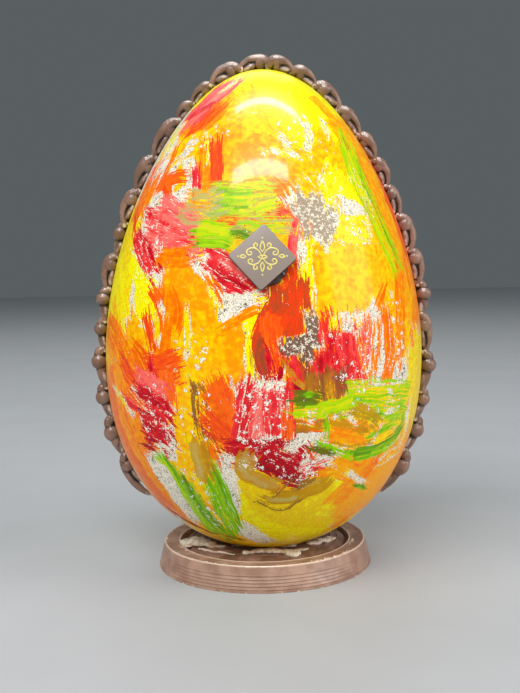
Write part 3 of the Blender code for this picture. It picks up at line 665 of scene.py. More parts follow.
# From the lowest coat to the highest; a new stroke hides the coats above its own.
LAYERS = ("lemon", "gold", "orange", "scarlet", "crimson", "green", "veil")
PATH_STEP = 3.0           # between the points of a stroke's path, in mm
FEATHER = 3.6             # over which a stroke's two ends thin out, in mm
END_RAG = 5.0             # the most that the bristles part at an end, in mm
DRY = -3.0                # the mask of skin with no coat on it
FEW_FLECKS = 0.22         # the share of flecks where none are asked for


def smooth_path(points, step):
    """A curve through the points, sampled about every step."""
    points = [np.array(p, float) for p in points]
    padded = [2 * points[0] - points[1], *points, 2 * points[-1] - points[-2]]
    path = []
    for p0, p1, p2, p3 in zip(padded, padded[1:], padded[2:], padded[3:]):
        count = max(2, int(np.linalg.norm(p2 - p1) / step))
        for i in range(count):
            t = i / count
            path.append(0.5 * (
                2 * p1 + (p2 - p0) * t
                + (2 * p0 - 5 * p1 + 4 * p2 - p3) * t * t
                + (3 * p1 - p0 - 3 * p2 + p3) * t ** 3
            ))
    path.append(points[-1])
    return np.array(path)


class Shell:
    """The points of one half and the paint that lies on them."""

    def __init__(self, mesh, front, rng):
        count = len(mesh.vertices)
        self.place, self.normal = mesh_arrays(mesh)
        facing = 1.0 if front else -1.0
        eye = np.array((0.0, -PAINTER_DISTANCE * facing, PAINTER_HEIGHT))
        ray = self.place - eye
        seen = eye + ray * (-eye[1] / ray[:, 1])[:, None]
        self.seen = np.c_[seen[:, 0] * facing, seen[:, 2]]
        self.facing = np.nonzero((ray * self.normal).sum(1) < 0.0)[0]
        # for each coat its mask, place along and across its stroke, and tone
        self.paint = {name: np.tile((DRY, 0.0, 0.0, 0.5), (count, 1)) for name in LAYERS}
        self.spatter = np.ones(count)
        self.flecks = np.full(count, FEW_FLECKS)
        self.rng = rng

    def wander(self, values, period):
        """A slow random swing between -1 and 1 along the values."""
        low = values.min() - period
        knots = np.arange(low, values.max() + 2 * period, period)
        return np.interp(values, knots, self.rng.uniform(-1.0, 1.0, len(knots)))

    def follow(self, points, reach):
        """Along, across and length of a stroke for the points near it."""
        seen = self.seen[self.facing]
        path = np.array([
            self.place[self.facing[np.argmin(((seen - p) ** 2).sum(1))]]
            for p in smooth_path(points, PATH_STEP)
        ])
        path = path[np.r_[True, np.linalg.norm(np.diff(path, axis=0), axis=1) > 0.3]]
        inside = (self.place > path.min(0) - reach) & (self.place < path.max(0) + reach)
        near = np.nonzero(inside.all(1))[0]
        place = self.place[near]
        best = np.full(len(near), np.inf)
        along = np.zeros(len(near))
        across = np.zeros(len(near))
        travelled = 0.0
        last = len(path) - 2
        for i, (a, b) in enumerate(zip(path, path[1:])):
            length = np.linalg.norm(b - a)
            run = (b - a) / length
            offset = place - a
            held = np.clip(
                offset @ run, -np.inf if i == 0 else 0.0, np.inf if i == last else length,
            )
            gap = offset - held[:, None] * run
            distance = np.linalg.norm(gap, axis=1)
            closer = distance < best
            best[closer] = distance[closer]
            along[closer] = travelled + held[closer]
            side = (gap[closer] * np.cross(self.normal[near[closer]], run)).sum(1)
            across[closer] = distance[closer] * np.sign(side)
            travelled += length
        return near, along, across, travelled

    def lay(self, name, tone, width, wet, points):
        """Lays one stroke: its body, its clumps of bristles and what it hides."""
        near, along, across, length = self.follow(points, width / 2 + 16.0)
        rag = min(END_RAG, 0.14 * length, width)
        first = -rag * self.wander(across, 2.2) * 0.5 - 1.0
        last = length + 1.0 + rag * self.wander(across, 2.0) * 0.5
        half = width / 2 * (1.0 + 0.16 * self.wander(along, 9.0))
        mask = np.minimum.reduce([
            half - np.abs(across), (along - first) / FEATHER, (last - along) / FEATHER,
        ])
        mask = np.clip(mask, DRY, wet)
        tones = np.full(len(near), tone) + 0.10 * self.wander(across, 3.0)
        # separate clumps of bristles, some of them running on past the rest
        for _ in range(2 + int(width / 5)):
            middle = self.rng.uniform(-0.5, 0.5) * width
            thick = self.rng.uniform(0.06, 0.16) * width + 0.5
            early, late = self.rng.uniform(-0.2, 0.16, 2) * length
            shade = self.rng.uniform(-0.20, 0.20)
            clump = np.minimum.reduce([
                (thick - np.abs(across - middle)) / 0.8,
                (along + early) / 3.5, (length + late - along) / 3.5,
            ])
            clump = np.clip(clump, DRY, wet)
            tones += np.where(clump > 0.2, shade, 0.0)
            if early > 0.0 or late > 0.0:
                mask = np.maximum(mask, clump)
        hidden = LAYERS
        if name == "bare":
            self.spatter[near] = np.minimum(self.spatter[near], 0.5 - mask)
        elif name == "white":
            self.spatter[near] = np.maximum(self.spatter[near], 0.5 + mask)
        else:
            hidden = LAYERS[LAYERS.index(name) + 1:]
            old = self.paint[name][near, 0]
            new = (mask > 0.0) | (mask > old)
            self.paint[name][near[new]] = np.c_[
                np.maximum(mask, old), along, across, np.clip(tones, 0.0, 1.0),
            ][new]
        for other in hidden:
            old = self.paint[other][near, 0]
            self.paint[other][near, 0] = np.minimum(old, -mask)

    def fleck(self, amount, width, points):
        """Sets the share of flecks along a stroke."""
        near, along, across, length = self.follow(points, width / 2 + 8.0)
        share = np.minimum.reduce([
            width / 2 - np.abs(across), along + 4.0, length + 4.0 - along,
        ]) / 4.0
        share = np.clip(share + 0.5, 0.0, 1.0)
        self.flecks[near] += (amount - self.flecks[near]) * share

    def keep(self, mesh):
        """Keeps the paint on the mesh, where the material reads it."""
        for name in LAYERS:
            store(mesh, "paint_" + name, "FLOAT_COLOR", self.paint[name])
        for name, values in (("spatter", self.spatter), ("flecks", self.flecks)):
            store(mesh, name, "FLOAT", np.clip(values, -2, 3))


# The grounds of the back, under its freely laid strokes.
BACK_GROUNDS = (
    ("gold", 0.45, 96, 2.2, (0, 240), (0, 180), (0, 120), (0, 50)),
    ("lemon", 0.60, 64, 2.0, (-34, 236), (-64, 190), (-76, 140), (-76, 100), (-62, 52),
     (-36, 22)),
    ("gold", 0.30, 64, 2.0, (34, 236), (64, 190), (77, 140), (77, 100), (64, 52), (38, 22)),
    ("lemon", 0.95, 52, 2.0, (-30, 36), (0, 16), (34, 34)),
    ("orange", 0.30, 40, 1.9, (-72, 92), (-62, 56), (-40, 28)),
    ("orange", 0.25, 34, 1.8, (60, 196), (72, 160), (76, 128)),
)
# Its free strokes: colour, lightest, deepest, width, wetness, count.
BACK_KINDS = (
    ("gold", 0.1, 0.9, 36, 1.8, 26), ("lemon", 0.2, 0.9, 34, 1.7, 16),
    ("orange", 0.1, 0.5, 22, 1.6, 12), ("white", 0.0, 0.0, 10, 1.0, 10),
    ("crimson", 0.1, 0.6, 12, 0.8, 16), ("scarlet", 0.0, 0.7, 13, 1.0, 16),
    ("orange", 0.2, 0.7, 14, 1.0, 10), ("lemon", 0.3, 0.9, 10, 1.3, 10),
    ("gold", 0.2, 0.8, 10, 1.4, 10), ("crimson", 0.3, 0.9, 8, 0.7, 12),
    ("green", 0.1, 0.6, 5, 0.9, 22), ("veil", 0.0, 0.9, 8, 1.0, 10),
    ("bare", 0.0, 0.0, 12, 1.5, 3), ("white", 0.0, 0.0, 4, 0.8, 12),
)
# The field that they fall in: an ellipse's middle height and two half-axes.
BACK_MIDDLE = 118.0
BACK_TALL = 136.0
BACK_WIDE = 80.0


def back_strokes(rng):
    """Strokes of the same colours and sizes, laid at random on the back."""
    strokes = list(BACK_GROUNDS)
    for name, low, high, width, wet, count in BACK_KINDS:
        for _ in range(count):
            z = rng.uniform(14.0, 246.0)
            up = (z - BACK_MIDDLE) / BACK_TALL
            half = math.sqrt(max(0.0, 1.0 - up ** 2)) * BACK_WIDE
            x = rng.uniform(-half, half)
            lean = rng.normal(math.pi / 2, 0.55)
            length = rng.uniform(12.0, 44.0)
            bend = rng.normal(0.0, 4.0)
            dx = math.cos(lean) * length / 2
            dz = math.sin(lean) * length / 2
            strokes.append((
                name, rng.uniform(low, high), width * rng.uniform(0.6, 1.3), wet,
                (x - dx, z - dz), (x + bend, z), (x + dx, z + dz),
            ))
    return strokes


def back_flecks(rng):
    return [
        (rng.uniform(0.03, 0.9), rng.uniform(14.0, 26.0),
         (x, z), (x + rng.uniform(-8.0, 8.0), z - 18.0))
        for x, z in zip(rng.uniform(-66.0, 66.0, 26), rng.uniform(36.0, 236.0, 26))
    ]


# Cocoa-butter colours from light to deep.
PAINT_TONES = {
    "lemon": ((0.0, "fdf600"), (0.5, "fff000"), (1.0, "f6ce00")),
    "gold": ((0.0, "ffd800"), (0.5, "ffbe00"), (1.0, "ff9a00")),
    "orange": ((0.0, "ffac00"), (0.5, "ff7c00"), (1.0, "f05a00")),
    "scarlet": ((0.0, "ff6c10"), (0.4, "f23e12"), (0.7, "d04418"), (1.0, "98482a")),
    "crimson": ((0.0, "ff766c"), (0.3, "f22e34"), (0.6, "c80c1e"), (1.0, "88081a")),
    "green": ((0.0, "d6de00"), (0.35, "94d000"), (0.65, "64a008"), (1.0, "686a14")),
    "veil": ((0.0, "b8b470"), (0.5, "c88c00"), (1.0, "74422a")),
}
# How the brush dragged each: bristle width and streak length in mm, strength
# of the gaps, strength of the streaks in tone, strength of the mottling.
BRISTLES = {
    "lemon": (1.0, 9.0, 1.0, 0.5, 1.0), "gold": (1.2, 9.0, 1.0, 0.25, 2.0),
    "orange": (0.8, 11.0, 1.0, 0.9, 1.0), "scarlet": (0.8, 11.0, 1.1, 1.1, 0.4),
    "crimson": (0.75, 9.0, 1.2, 0.7, 0.3), "green": (0.7, 14.0, 1.1, 1.2, 0.2),
    "veil": (1.2, 12.0, 0.8, 0.3, 0.2),
}


def bare_chocolate(add, tree, place, ragged, fine):
    """Chocolate under white droplets, and dense white spatter with pinholes."""
    drops = add("TexVoronoi", sized(ragged, 1.8), "Distance")
    ring = add("Math", (
        add("MapRange", (drops, 0.14, 0.20), **SMOOTH),
        add("MapRange", (drops, 0.45, 0.38), **SMOOTH),
    ), operation="MULTIPLY")
    height = add("SeparateXYZ", (place,), 2)
    # painted light: the bare chocolate turns paler towards the top, as if lit from above
    brown = coated(
        tree, "76594a", (add("MapRange", (height, 120.0, 175.0), **SMOOTH), "a8967e"),
    )
    bare = coated(tree, brown, (ring, "f4ead6"))
    holes = add("TexVoronoi", sized(ragged, 1.25), "Distance")
    holes = swung(tree, holes, add("TexNoise", sized(place, 5.0)), 0.7)
    white = coated(tree, "d6c8ae", (add("MapRange", (fine, 0.35, 0.6), **SMOOTH), "fbf5e4"))
    dense = coated(tree, white, (add("MapRange", (holes, 0.30, 0.22), **SMOOTH), "4a3e38"))
    spatter = add("Attribute", (), "Fac", attribute_name="spatter")
    spatter = swung(tree, spatter, add("TexNoise", sized(place, 1.5)), 2.4)
    return coated(tree, bare, (add("MapRange", (spatter, 0.40, 0.60), **SMOOTH), dense))


def paint_coat(add, tree, name, grit, creep):
    """One coat, torn along the bristles and crept into droplets."""
    source = add("Attribute", (), None, attribute_name="paint_" + name)
    mask, along, across = add("SeparateColor", (source["Color"],), None)
    width, streak, gaps, streaking, mottling = BRISTLES[name]
    lines = add("CombineXYZ", (
        add("Math", (across, width), operation="DIVIDE"),
        add("Math", (along, streak), operation="DIVIDE"),
        LAYERS.index(name) * 7.3,
    ))
    hair = add("TexNoise", sized(lines, 1.0, Roughness=0.6))
    cover = swung(tree, mask, hair, 6.0 * gaps)
    cover = add("MapRange", (swung(tree, cover, grit, 2.2), -0.15, 0.15), **SMOOTH)
    tone = swung(tree, source["Alpha"], hair, streaking)
    tone = swung(tree, tone, creep, mottling, clamp=True)
    paint = add("ValToRGB", (tone,), stops=PAINT_TONES[name])
    if name == "lemon":
        veins = add("MapRange", (grit, 0.54, 0.66), **SMOOTH)
        veins = add("Math", (veins, 0.55), operation="MULTIPLY")
        paint = coated(tree, paint, (veins, "c8a800"))
    if name == "veil":
        cover = add("Math", (cover, 0.85), operation="MULTIPLY")
    return cover, paint


def fleck_coats(add, tree, place, ragged, fine):
    """Gaps in the paint showing white, speckled and rimmed with chocolate."""
    amount = add("Attribute", (), "Fac", attribute_name="flecks")
    gaps = add("TexVoronoi", sized(wobbled(tree, place, 1.3, 3.0), 2.6), None)
    chance = add("SeparateColor", (gaps["Color"],))
    size = add("Math", (chance, amount), operation="ADD")
    size = add("Math", (size, 1.0), operation="SUBTRACT")
    size = add("Math", (size, 1.4), operation="MULTIPLY", use_clamp=True)
    inside = add("Math", (size, 0.50), operation="MULTIPLY")
    inside = add("Math", (inside, gaps["Distance"]), operation="SUBTRACT")
    specks = add("TexVoronoi", sized(ragged, 1.0), "Distance")
    dark = add("Math", (
        add("MapRange", (specks, 0.30, 0.22), **SMOOTH),
        add("MapRange", (inside, -0.20, -0.10), **SMOOTH),
    ), operation="MULTIPLY")
    size = add("MapRange", (size, 0.02, 0.10), **SMOOTH)
    dark = add("Math", (dark, size), operation="MULTIPLY")
    rim = add("Math", (
        add("MapRange", (inside, -0.07, -0.02), **SMOOTH),
        add("MapRange", (inside, 0.05, 0.0), **SMOOTH),
    ), operation="MULTIPLY")
    rim = add("Math", (
        rim, add("MapRange", (fine, 0.46, 0.60), **SMOOTH),
    ), operation="MULTIPLY")
    rim = add("Math", (rim, 0.8), operation="MULTIPLY")
    white = add("MapRange", (inside, -0.03, 0.03), **SMOOTH)
    return (white, "f8f3e8"), (dark, "5c4836"), (rim, "6a4c30")


def paint_material():
    """Cocoa butter, coloured, brushed and spattered into a polished mould.

    Chocolate cast against it takes the mould's shine, so the skin is smooth
    and glossy, and the white spatter shows where the bristles left gaps.
    """
    material, tree, shader = new_material("brushed_cocoa_butter", 0.32, 1.46, 0.12, 0.07)
    shader.inputs["Specular IOR Level"].default_value = 0.08
    add = partial(add_node, tree)
    place = in_mm(tree)
    fine = add("TexNoise", sized(place, 0.6))
    ragged = wobbled(tree, place, 1.2, 2.0)
    creep = add("TexNoise", sized(place, 2.7, Detail=1.0))
    grit = add("TexNoise", sized(place, 0.8, Roughness=0.6))
    colour = coated(
        tree, bare_chocolate(add, tree, place, ragged, fine),
        *(paint_coat(add, tree, name, grit, creep) for name in LAYERS),
        *fleck_coats(add, tree, place, ragged, fine),
    )
    waves = add("TexNoise", sized(place, 24.0, Detail=1.0))
    finish(tree, shader, colour, waves, 0.25, 0.4)
    return material


# ---- chocolate ------------------------------------------------------------------

def chocolate_material(name, deep, light, worn_and_highlight, roughness, grain_mm, relief_mm):
    """Dark chocolate set in air: satin, with cloudy bloom and pale edges.

    An attribute on each piece says where it is paler, partly from rubbing and
    partly as painted highlight, and below zero where painted shade darkens its creases.
    """
    material, tree, shader = new_material(name, roughness, 1.47)
    add = partial(add_node, tree)
    place = in_mm(tree)
    bloom = add("TexNoise", sized(place, 9.0, Detail=3.0))
    rubbed_and_shaded = add("Attribute", (), "Fac", attribute_name="wear")
    wear = swung(tree, rubbed_and_shaded, add("TexNoise", sized(place, 1.6, Detail=3.0)), 0.9)
    wear = add("Math", (
        add("MapRange", (wear, 0.35, 0.9), **SMOOTH), rubbed_and_shaded,
    ), operation="MULTIPLY")
    # painted light: the pale coat on ridges and edges is partly rubbing and partly painted
    # highlight; 24160f is painted shade in the creases
    colour = coated(
        tree, deep, (add("MapRange", (bloom, 0.35, 0.68), **SMOOTH), light), (wear, worn_and_highlight),
        (add("MapRange", (rubbed_and_shaded, -0.12, -1.0), **SMOOTH), "24160f"),
    )
    grain = add("TexNoise", sized(place, grain_mm, Detail=3.0))
    finish(tree, shader, colour, grain, relief_mm, 0.6)
    return material


def wear_and_shade_by_form(mesh, rounds, strength):
    """Stores paler ridges, partly rubbing and partly painted highlight, and below zero painted
    shade in the creases.
    """
    count = len(mesh.vertices)
    place, normal = mesh_arrays(mesh)
    pairs = np.empty(len(mesh.edges) * 2, dtype=np.int32)
    mesh.edges.foreach_get("vertices", pairs)
    one, other = pairs.reshape(-1, 2).T
    joined = np.bincount(np.r_[one, other], minlength=count).clip(1)

    def neighbours(values):
        return np.bincount(
            np.r_[one, other], np.r_[values[other], values[one]], minlength=count,
        ) / joined

    middle = np.stack([neighbours(place[:, axis]) for axis in range(3)], axis=1)
    bend = ((place - middle) * normal).sum(1)
    broad = bend
    for i in range(6 * rounds):
        broad = 0.5 * broad + 0.5 * neighbours(broad)
        if i == rounds:
            bend = broad
    bend = bend + 2.0 * broad - 3.0 * np.median(broad)
    store(mesh, "wear", "FLOAT", np.clip(bend * strength, -1.0, 1.0))


# ---- the shell --------------------------------------------------------------------

SHELL_RINGS = 330
SHELL_STEPS = 288


def half_shell(front):
    """One half of the egg, closed by its flat face at the seam."""
    outline = []
    for i in range(SHELL_RINGS + 1):
        radius, height = egg_point(math.pi * i / SHELL_RINGS, EGG_SKIN)
        outline.append((0.0 if i in (0, SHELL_RINGS) else radius, height))
    side = -1.0 if front else 1.0
    bm = turned(outline, side * math.pi, SHELL_STEPS, 0.002)
    bmesh.ops.holes_fill(bm, edges=[e for e in bm.edges if e.is_boundary], sides=0)
    bmesh.ops.translate(bm, vec=(0.0, side * SHELL_GAP / 2, 0.0), verts=bm.verts)
    return bm


def make_shells(settings):
    material = paint_material()
    for index, side in enumerate(("front", "back")):
        piece = new_piece(
            "painted_half_" + side, half_shell(index == 0), material,
            ("egg_half_" + side,), place=egg_to_world(),
        )
        rng = np.random.default_rng(settings.brush_seed + index)
        shell = Shell(piece.data, index == 0, rng)
        for name, tone, width, wet, *points in back_strokes(rng) if index else FRONT_STROKES:
            shell.lay(name, tone, width, wet, points)
        for amount, width, *points in back_flecks(rng) if index else FRONT_FLECKS:
            shell.fleck(amount, width, points)
        shell.keep(piece.data)


# ---- piping ------------------------------------------------------------------------

def add_rope(bm, points, radii, across, sides=18):
    """A closed rope with rounded ends through the points."""
    points = list(points)
    radii = list(radii)
    start = (points[0] - points[1]).normalized()
    end = (points[-1] - points[-2]).normalized()
    for turn in (30.0, 55.0, 75.0):
        shrink = (math.cos(math.radians(turn)) / math.cos(math.radians(turn - 25.0))) ** 0.8
        points.insert(0, points[0] + start * radii[0] * 0.35)
        radii.insert(0, radii[0] * shrink)
        points.append(points[-1] + end * radii[-1] * 0.35)
        radii.append(radii[-1] * shrink)
    loops = []
    last = len(points) - 1
    for i, (point, radius) in enumerate(zip(points, radii)):
        run = (points[min(last, i + 1)] - points[max(0, i - 1)]).normalized()
        other = run.cross(across).normalized()
        frame_here = Matrix((across, other, run)).transposed().to_4x4()
        made = bmesh.ops.create_circle(
            bm, cap_ends=i in (0, last), radius=radius, segments=sides,
            matrix=Matrix.Translation(point) @ frame_here,
        )
        loops.append({e for v in made["verts"] for e in v.link_edges})
    for one, two in zip(loops, loops[1:]):
        bmesh.ops.bridge_loops(bm, edges=list(one | two))


def add_lump(bm, centre, radii, detail=28, axes=Matrix.Identity(3)):
    """A rounded lump with its three radii along the given axes."""
    bmesh.ops.create_uvsphere(
        bm, u_segments=detail, v_segments=detail // 2, radius=1.0,
        matrix=(
            Matrix.Translation(centre)
            @ Matrix(axes).transposed().to_4x4()
            @ Matrix.Diagonal((*radii, 1.0))
        ),
    )


def fused(bm, voxel_mm=0.3, smoothing=2):
    """Overlapping ropes and lumps, in metres, fused into one closed skin."""
    mesh = bpy.data.meshes.new("rough")
    bm.to_mesh(mesh)
    bm.free()
    rough = bpy.data.objects.new("rough", mesh)
    bpy.context.scene.collection.objects.link(rough)
    remesh = rough.modifiers.new("fuse", "REMESH")
    remesh.mode = "VOXEL"
    remesh.voxel_size = voxel_mm * MM
    bpy.context.view_layer.update()
    result = bpy.data.meshes.new_from_object(
        rough.evaluated_get(bpy.context.evaluated_depsgraph_get()),
    )
    bpy.data.objects.remove(rough, do_unlink=True)
    bpy.data.meshes.remove(mesh)
    out = bmesh.new()
    out.from_mesh(result)
    bpy.data.meshes.remove(result)
    for _ in range(smoothing):
        bmesh.ops.smooth_vert(
            out, verts=out.verts, factor=0.5, use_axis_x=True, use_axis_y=True, use_axis_z=True,
        )
    bmesh.ops.recalc_face_normals(out, faces=out.faces)
    out.normal_update()
    return out


def pull(start, length, reach, side, kind, fall):
    """One pull of piping: its rope, the lumps in it and its foot on the seam."""
    bm = bmesh.new()
    across = Vector((0.0, 1.0, 0.0))
    sway, swell, twist, lift = fall
    points = []
    radii = []
    for share, height, radius in smooth_path(ROPE_RUNS[kind], 0.055):
        rise = height * (1.0 + 0.03 * lift * math.sin(3.0 * share))
        forward = 0.10 * sway + 0.10 * twist * math.sin(4.0 * share)
        thick = radius * (1.0 + 0.05 * swell * math.cos(5.0 * share))
        rise = min(rise, ROPE_TOP - thick)
        points.append(seam_place(
            start + share * length, rise * reach, side, forward * reach,
        ))
        radii.append(thick * reach)
    add_rope(bm, points, radii, across)

    for at, half, height, deep, wide, forward in LUMPS[kind]:
        at += 0.03 * twist
        forward = (forward + 0.06 * sway) * reach
        centre = seam_place(start + at * length, height * reach, side, forward)
        foot = seam_place(start + at * length, 0.0, side, forward)
        out = (centre - foot).normalized()
        along = Vector((out.z, 0.0, -out.x)) * side
        tilt = Matrix.Rotation(0.25 * lift, 3, across)
        add_lump(
            bm, centre, (half * length * (1.0 + 0.08 * swell), wide * reach, deep * reach),
            axes=(tilt @ along, across, tilt @ out),
        )
    if kind != "tail":
        base = [
            seam_place(start + share * length, BASE_HEIGHT * reach, side, -BASE_BACK * reach)
            for share, _ in BASE_ROPE
        ]
        add_rope(bm, base, [radius * reach for _, radius in BASE_ROPE], across, 14)
    bmesh.ops.transform(bm, matrix=egg_to_world(), verts=bm.verts)
    return fused(bm)


def wrinkle(bm, start, length, side, phase):
    """Fine folds round the thick end of a pull, where the chocolate bunched."""
    head = egg_to_world() @ seam_place(start + 0.02 * length, 0.3, side)
    head_length = 0.42 * length * MM
    for vert in bm.verts:
        away = (vert.co - head).length
        fade = max(0.0, 1.0 - away / head_length)
        ridge = math.sin(
            away / MM * WRINKLES_PER_MM + phase + 6.0 * field.noise(vert.co * 120.0)
        )
        soft = field.noise(vert.co * 420.0 + Vector((phase, 0.0, 0.0)))
        vert.co += vert.normal * MM * (WRINKLE_MM * ridge * fade + UNEVEN_MM * soft)


def make_piping(settings):
    # Dark chocolate squeezed from a bag and set in air: satin, faintly bloomed,
    # its ridges paler from rubbing and painted highlight, its creases darkened by painted
    # shade.
    material = chocolate_material(
        "piped_dark_chocolate", hex_of(settings.piped), "967564", "e2cebe", 0.34, 1.2, 0.04,
    )
    rng = np.random.default_rng(settings.fall_seed)
    for row, side, pulls in (("left", -1.0, LEFT_PULLS), ("right", 1.0, RIGHT_PULLS)):
        start = side * PIPING_START
        for i, (length, reach, kind) in enumerate(pulls, 1):
            bm = pull(start, length, reach, side, kind, rng.uniform(-1.0, 1.0, 4))
            wrinkle(bm, start, length, side, rng.uniform(0.0, 6.0))
            piece = new_piece(
                f"pull_{row}_{i:02d}", bm, material,
                (f"piping_{row}_{i:02d}",), angle=180.0,
            )
            # ridges paler (rubbing and painted highlight), creases darkened by painted shade
            wear_and_shade_by_form(piece.data, 8, 30.0)
            start += length


# ---- disc --------------------------------------------------------------------------

def disc_outline():
    """Radius, height and paleness (rubbing and painted highlight) down the outline, middle to
    middle.
    """
    rim = DISC_RIM_RADIUS
    lip = DISC_LIP_RADIUS
    foot = DISC_FOOT_RADIUS
    points = [
        (0.0, DISC_RECESS_Z, 0.0), (DISC_RECESS_RADIUS - 1.2, DISC_RECESS_Z, 0.0),
        (DISC_RECESS_RADIUS - 0.2, DISC_RECESS_Z + 0.5, 0.0),
        (lip - 0.6, DISC_LIP_Z - 0.5, 0.2), (lip - 0.2, DISC_LIP_Z + 0.18, 1.0),
        (lip + 0.3, DISC_LIP_Z + 0.22, 1.0), (lip + 0.9, DISC_LIP_Z - 0.08, 0.1),
        (lip + 3.0, DISC_LIP_Z - 0.05, 0.0), (rim - 2.2, DISC_HEIGHT - 0.45, 0.0),
        (rim - 1.0, DISC_HEIGHT - 0.12, 0.5), (rim - 0.4, DISC_HEIGHT - 0.12, 1.0),
        (rim, DISC_HEIGHT - 0.55, 0.7), (rim + 0.15, DISC_HEIGHT - 1.2, 0.1),
    ]
    top = DISC_HEIGHT * (1.0 - DISC_PLAIN_SHARE)
    for i in range(DISC_STEPS):
        z = top * (1.0 - i / DISC_STEPS)
        radius = rim + (foot - rim) * (1.0 - z / DISC_HEIGHT)
        points += [
            (radius - 0.02, z + 0.30, 0.0), (radius + 0.05, z + 0.08, 0.5),
            (radius - 0.30, z - 0.12, 0.0), (radius - 0.26, z - 0.42, 0.0),
        ]
    return points + [
        (foot - 0.05, 0.9, 0.2), (foot, 0.45, 0.6), (foot - 0.3, 0.0, 0.0), (0.0, 0.0, 0.0),
    ]


def make_disc(settings):
    # Dark chocolate cast in a ridged mould: satin, bloomed to a mauve brown,
    # its edges paler, partly from rubbing and partly as painted highlight.
    material = chocolate_material(
        "cast_dark_chocolate", hex_of(settings.cast), "b4907c", "e4ccb4", 0.38, 2.0, 0.05,
    )
    outline = disc_outline()
    bm = turned([(r * MM, z * MM) for r, z, _ in outline], 2.0 * math.pi, 300, 0.02 * MM)
    # the cast side and rim are a little uneven, never past the solid's faces
    for vert in bm.verts:
        radius = math.hypot(vert.co.x, vert.co.y) / MM
        if radius > DISC_LIP_RADIUS - 1.0 and vert.co.z > 0.0:
            slow = field.noise(vert.co * 60.0)
            quick = field.noise(vert.co * 420.0)
            push = 1.0 + (0.10 * slow + 0.07 * quick - 0.08) / radius
            vert.co.x *= push
            vert.co.y *= push
            vert.co.z = min(vert.co.z + 0.06 * MM * quick, DISC_HEIGHT * MM)
    piece = new_piece("moulded_disc", bm, material, ("disc",), angle=40.0)
    outline = np.array(outline)
    place, _ = mesh_arrays(piece.data)
    here = np.c_[np.hypot(place[:, 0], place[:, 1]), place[:, 2]]
    away = ((here[:, None] - outline[None, :, :2]) ** 2).sum(2)
    # the rim, lip and ridges painted paler: partly rubbing, partly painted highlight
    store(piece.data, "wear", "FLOAT", outline[away.argmin(1), 2])


# ---- setting, smears and crumbs --------------------------------------------------------

def foot_height(radius, angle):
    """Height of the egg's skin near its foot, in mm, in the model's frame."""
    lean = math.sin(math.radians(EGG_LEAN_DEG)) * EGG_FOOT_CURVE
    away = math.hypot(radius * math.cos(angle) - lean, radius * math.sin(angle))
    return EGG_FOOT_Z + EGG_FOOT_CURVE - math.sqrt(EGG_FOOT_CURVE ** 2 - away ** 2)


def setting_height(radius, angle):
    """Top of the poured chocolate, in mm: folded, banked up against the egg."""
    t = max(0.0, radius - SETTING_INNER) / (SETTING_OUTER - SETTING_INNER)
    bank = SETTING_TOP - 2.4 * t ** 1.4 + 0.35 * math.sin(3.0 * angle + 0.4)
    fold = 0.30 * math.sin(radius * 1.7 + 1.4 * math.sin(3.0 * angle) + angle)
    fold += 0.22 * math.sin(radius * 3.3 + 2.2 * math.sin(5.0 * angle + 1.0))
    fold += 0.35 * field.noise(Vector((radius * 0.25, angle * 4.0, 2.0)))
    edge = max(0.0, (t - 0.86) / 0.14)
    return bank + fold * (1.0 - edge) - 1.9 * edge ** 2


def make_setting(settings):
    # Melted dark chocolate poured round the foot and set in folds.
    material = chocolate_material(
        "poured_dark_chocolate", "70503e", "967260", "d8c0a8", 0.34, 1.1, 0.10,
    )
    wide = SETTING_OUTER - SETTING_INNER
    floor = DISC_RECESS_Z + 0.02
    outline = [
        (SETTING_INNER, floor),
        *((SETTING_INNER + wide * i / SETTING_RINGS, floor + 1.0)
          for i in range(SETTING_RINGS + 1)),
        (SETTING_OUTER, floor),
    ]
    bm = turned(outline, 2.0 * math.pi, 360, 0.005, closed=True)
    for vert in bm.verts:
        angle = math.atan2(vert.co.y, vert.co.x)
        radius = math.hypot(vert.co.x, vert.co.y)
        t = (radius - SETTING_INNER) / wide
        wave = 0.5 * math.sin(3 * angle + 0.4) + 0.4 * math.sin(5 * angle + 1.9)
        wave += 0.3 * math.sin(11 * angle + 0.7)
        # the pour stops short of the lip at the front
        wave -= 1.6 * math.exp(-((angle + math.pi / 2) / 0.35) ** 2)
        spread = radius + max(0.0, t) ** 2 * wave
        if vert.co.z > floor + 0.5:
            vert.co.z = min(
                foot_height(radius, angle) + 0.15, setting_height(radius, angle),
            )
        vert.co.x = spread * math.cos(angle)
        vert.co.y = spread * math.sin(angle)
    piece = new_piece(
        "poured_setting", bm, material, ("setting",), 60.0, IN_METRES,
    )
    store(piece.data, "wear", "FLOAT", [
        0.55 * max(0.0, field.noise(vert.co / MM * 0.16) + 0.3) for vert in piece.data.vertices
    ])


def bed_height(radius, angle):
    """What a smear lies on: the poured chocolate or the disc's top."""
    if radius < SETTING_OUTER - 1.0:
        return setting_height(radius, angle)
    if radius < DISC_LIP_RADIUS:
        return DISC_LIP_Z - 0.4
    return DISC_LIP_Z + (0.3 if radius > DISC_RIM_RADIUS - 3.0 else 0.0)


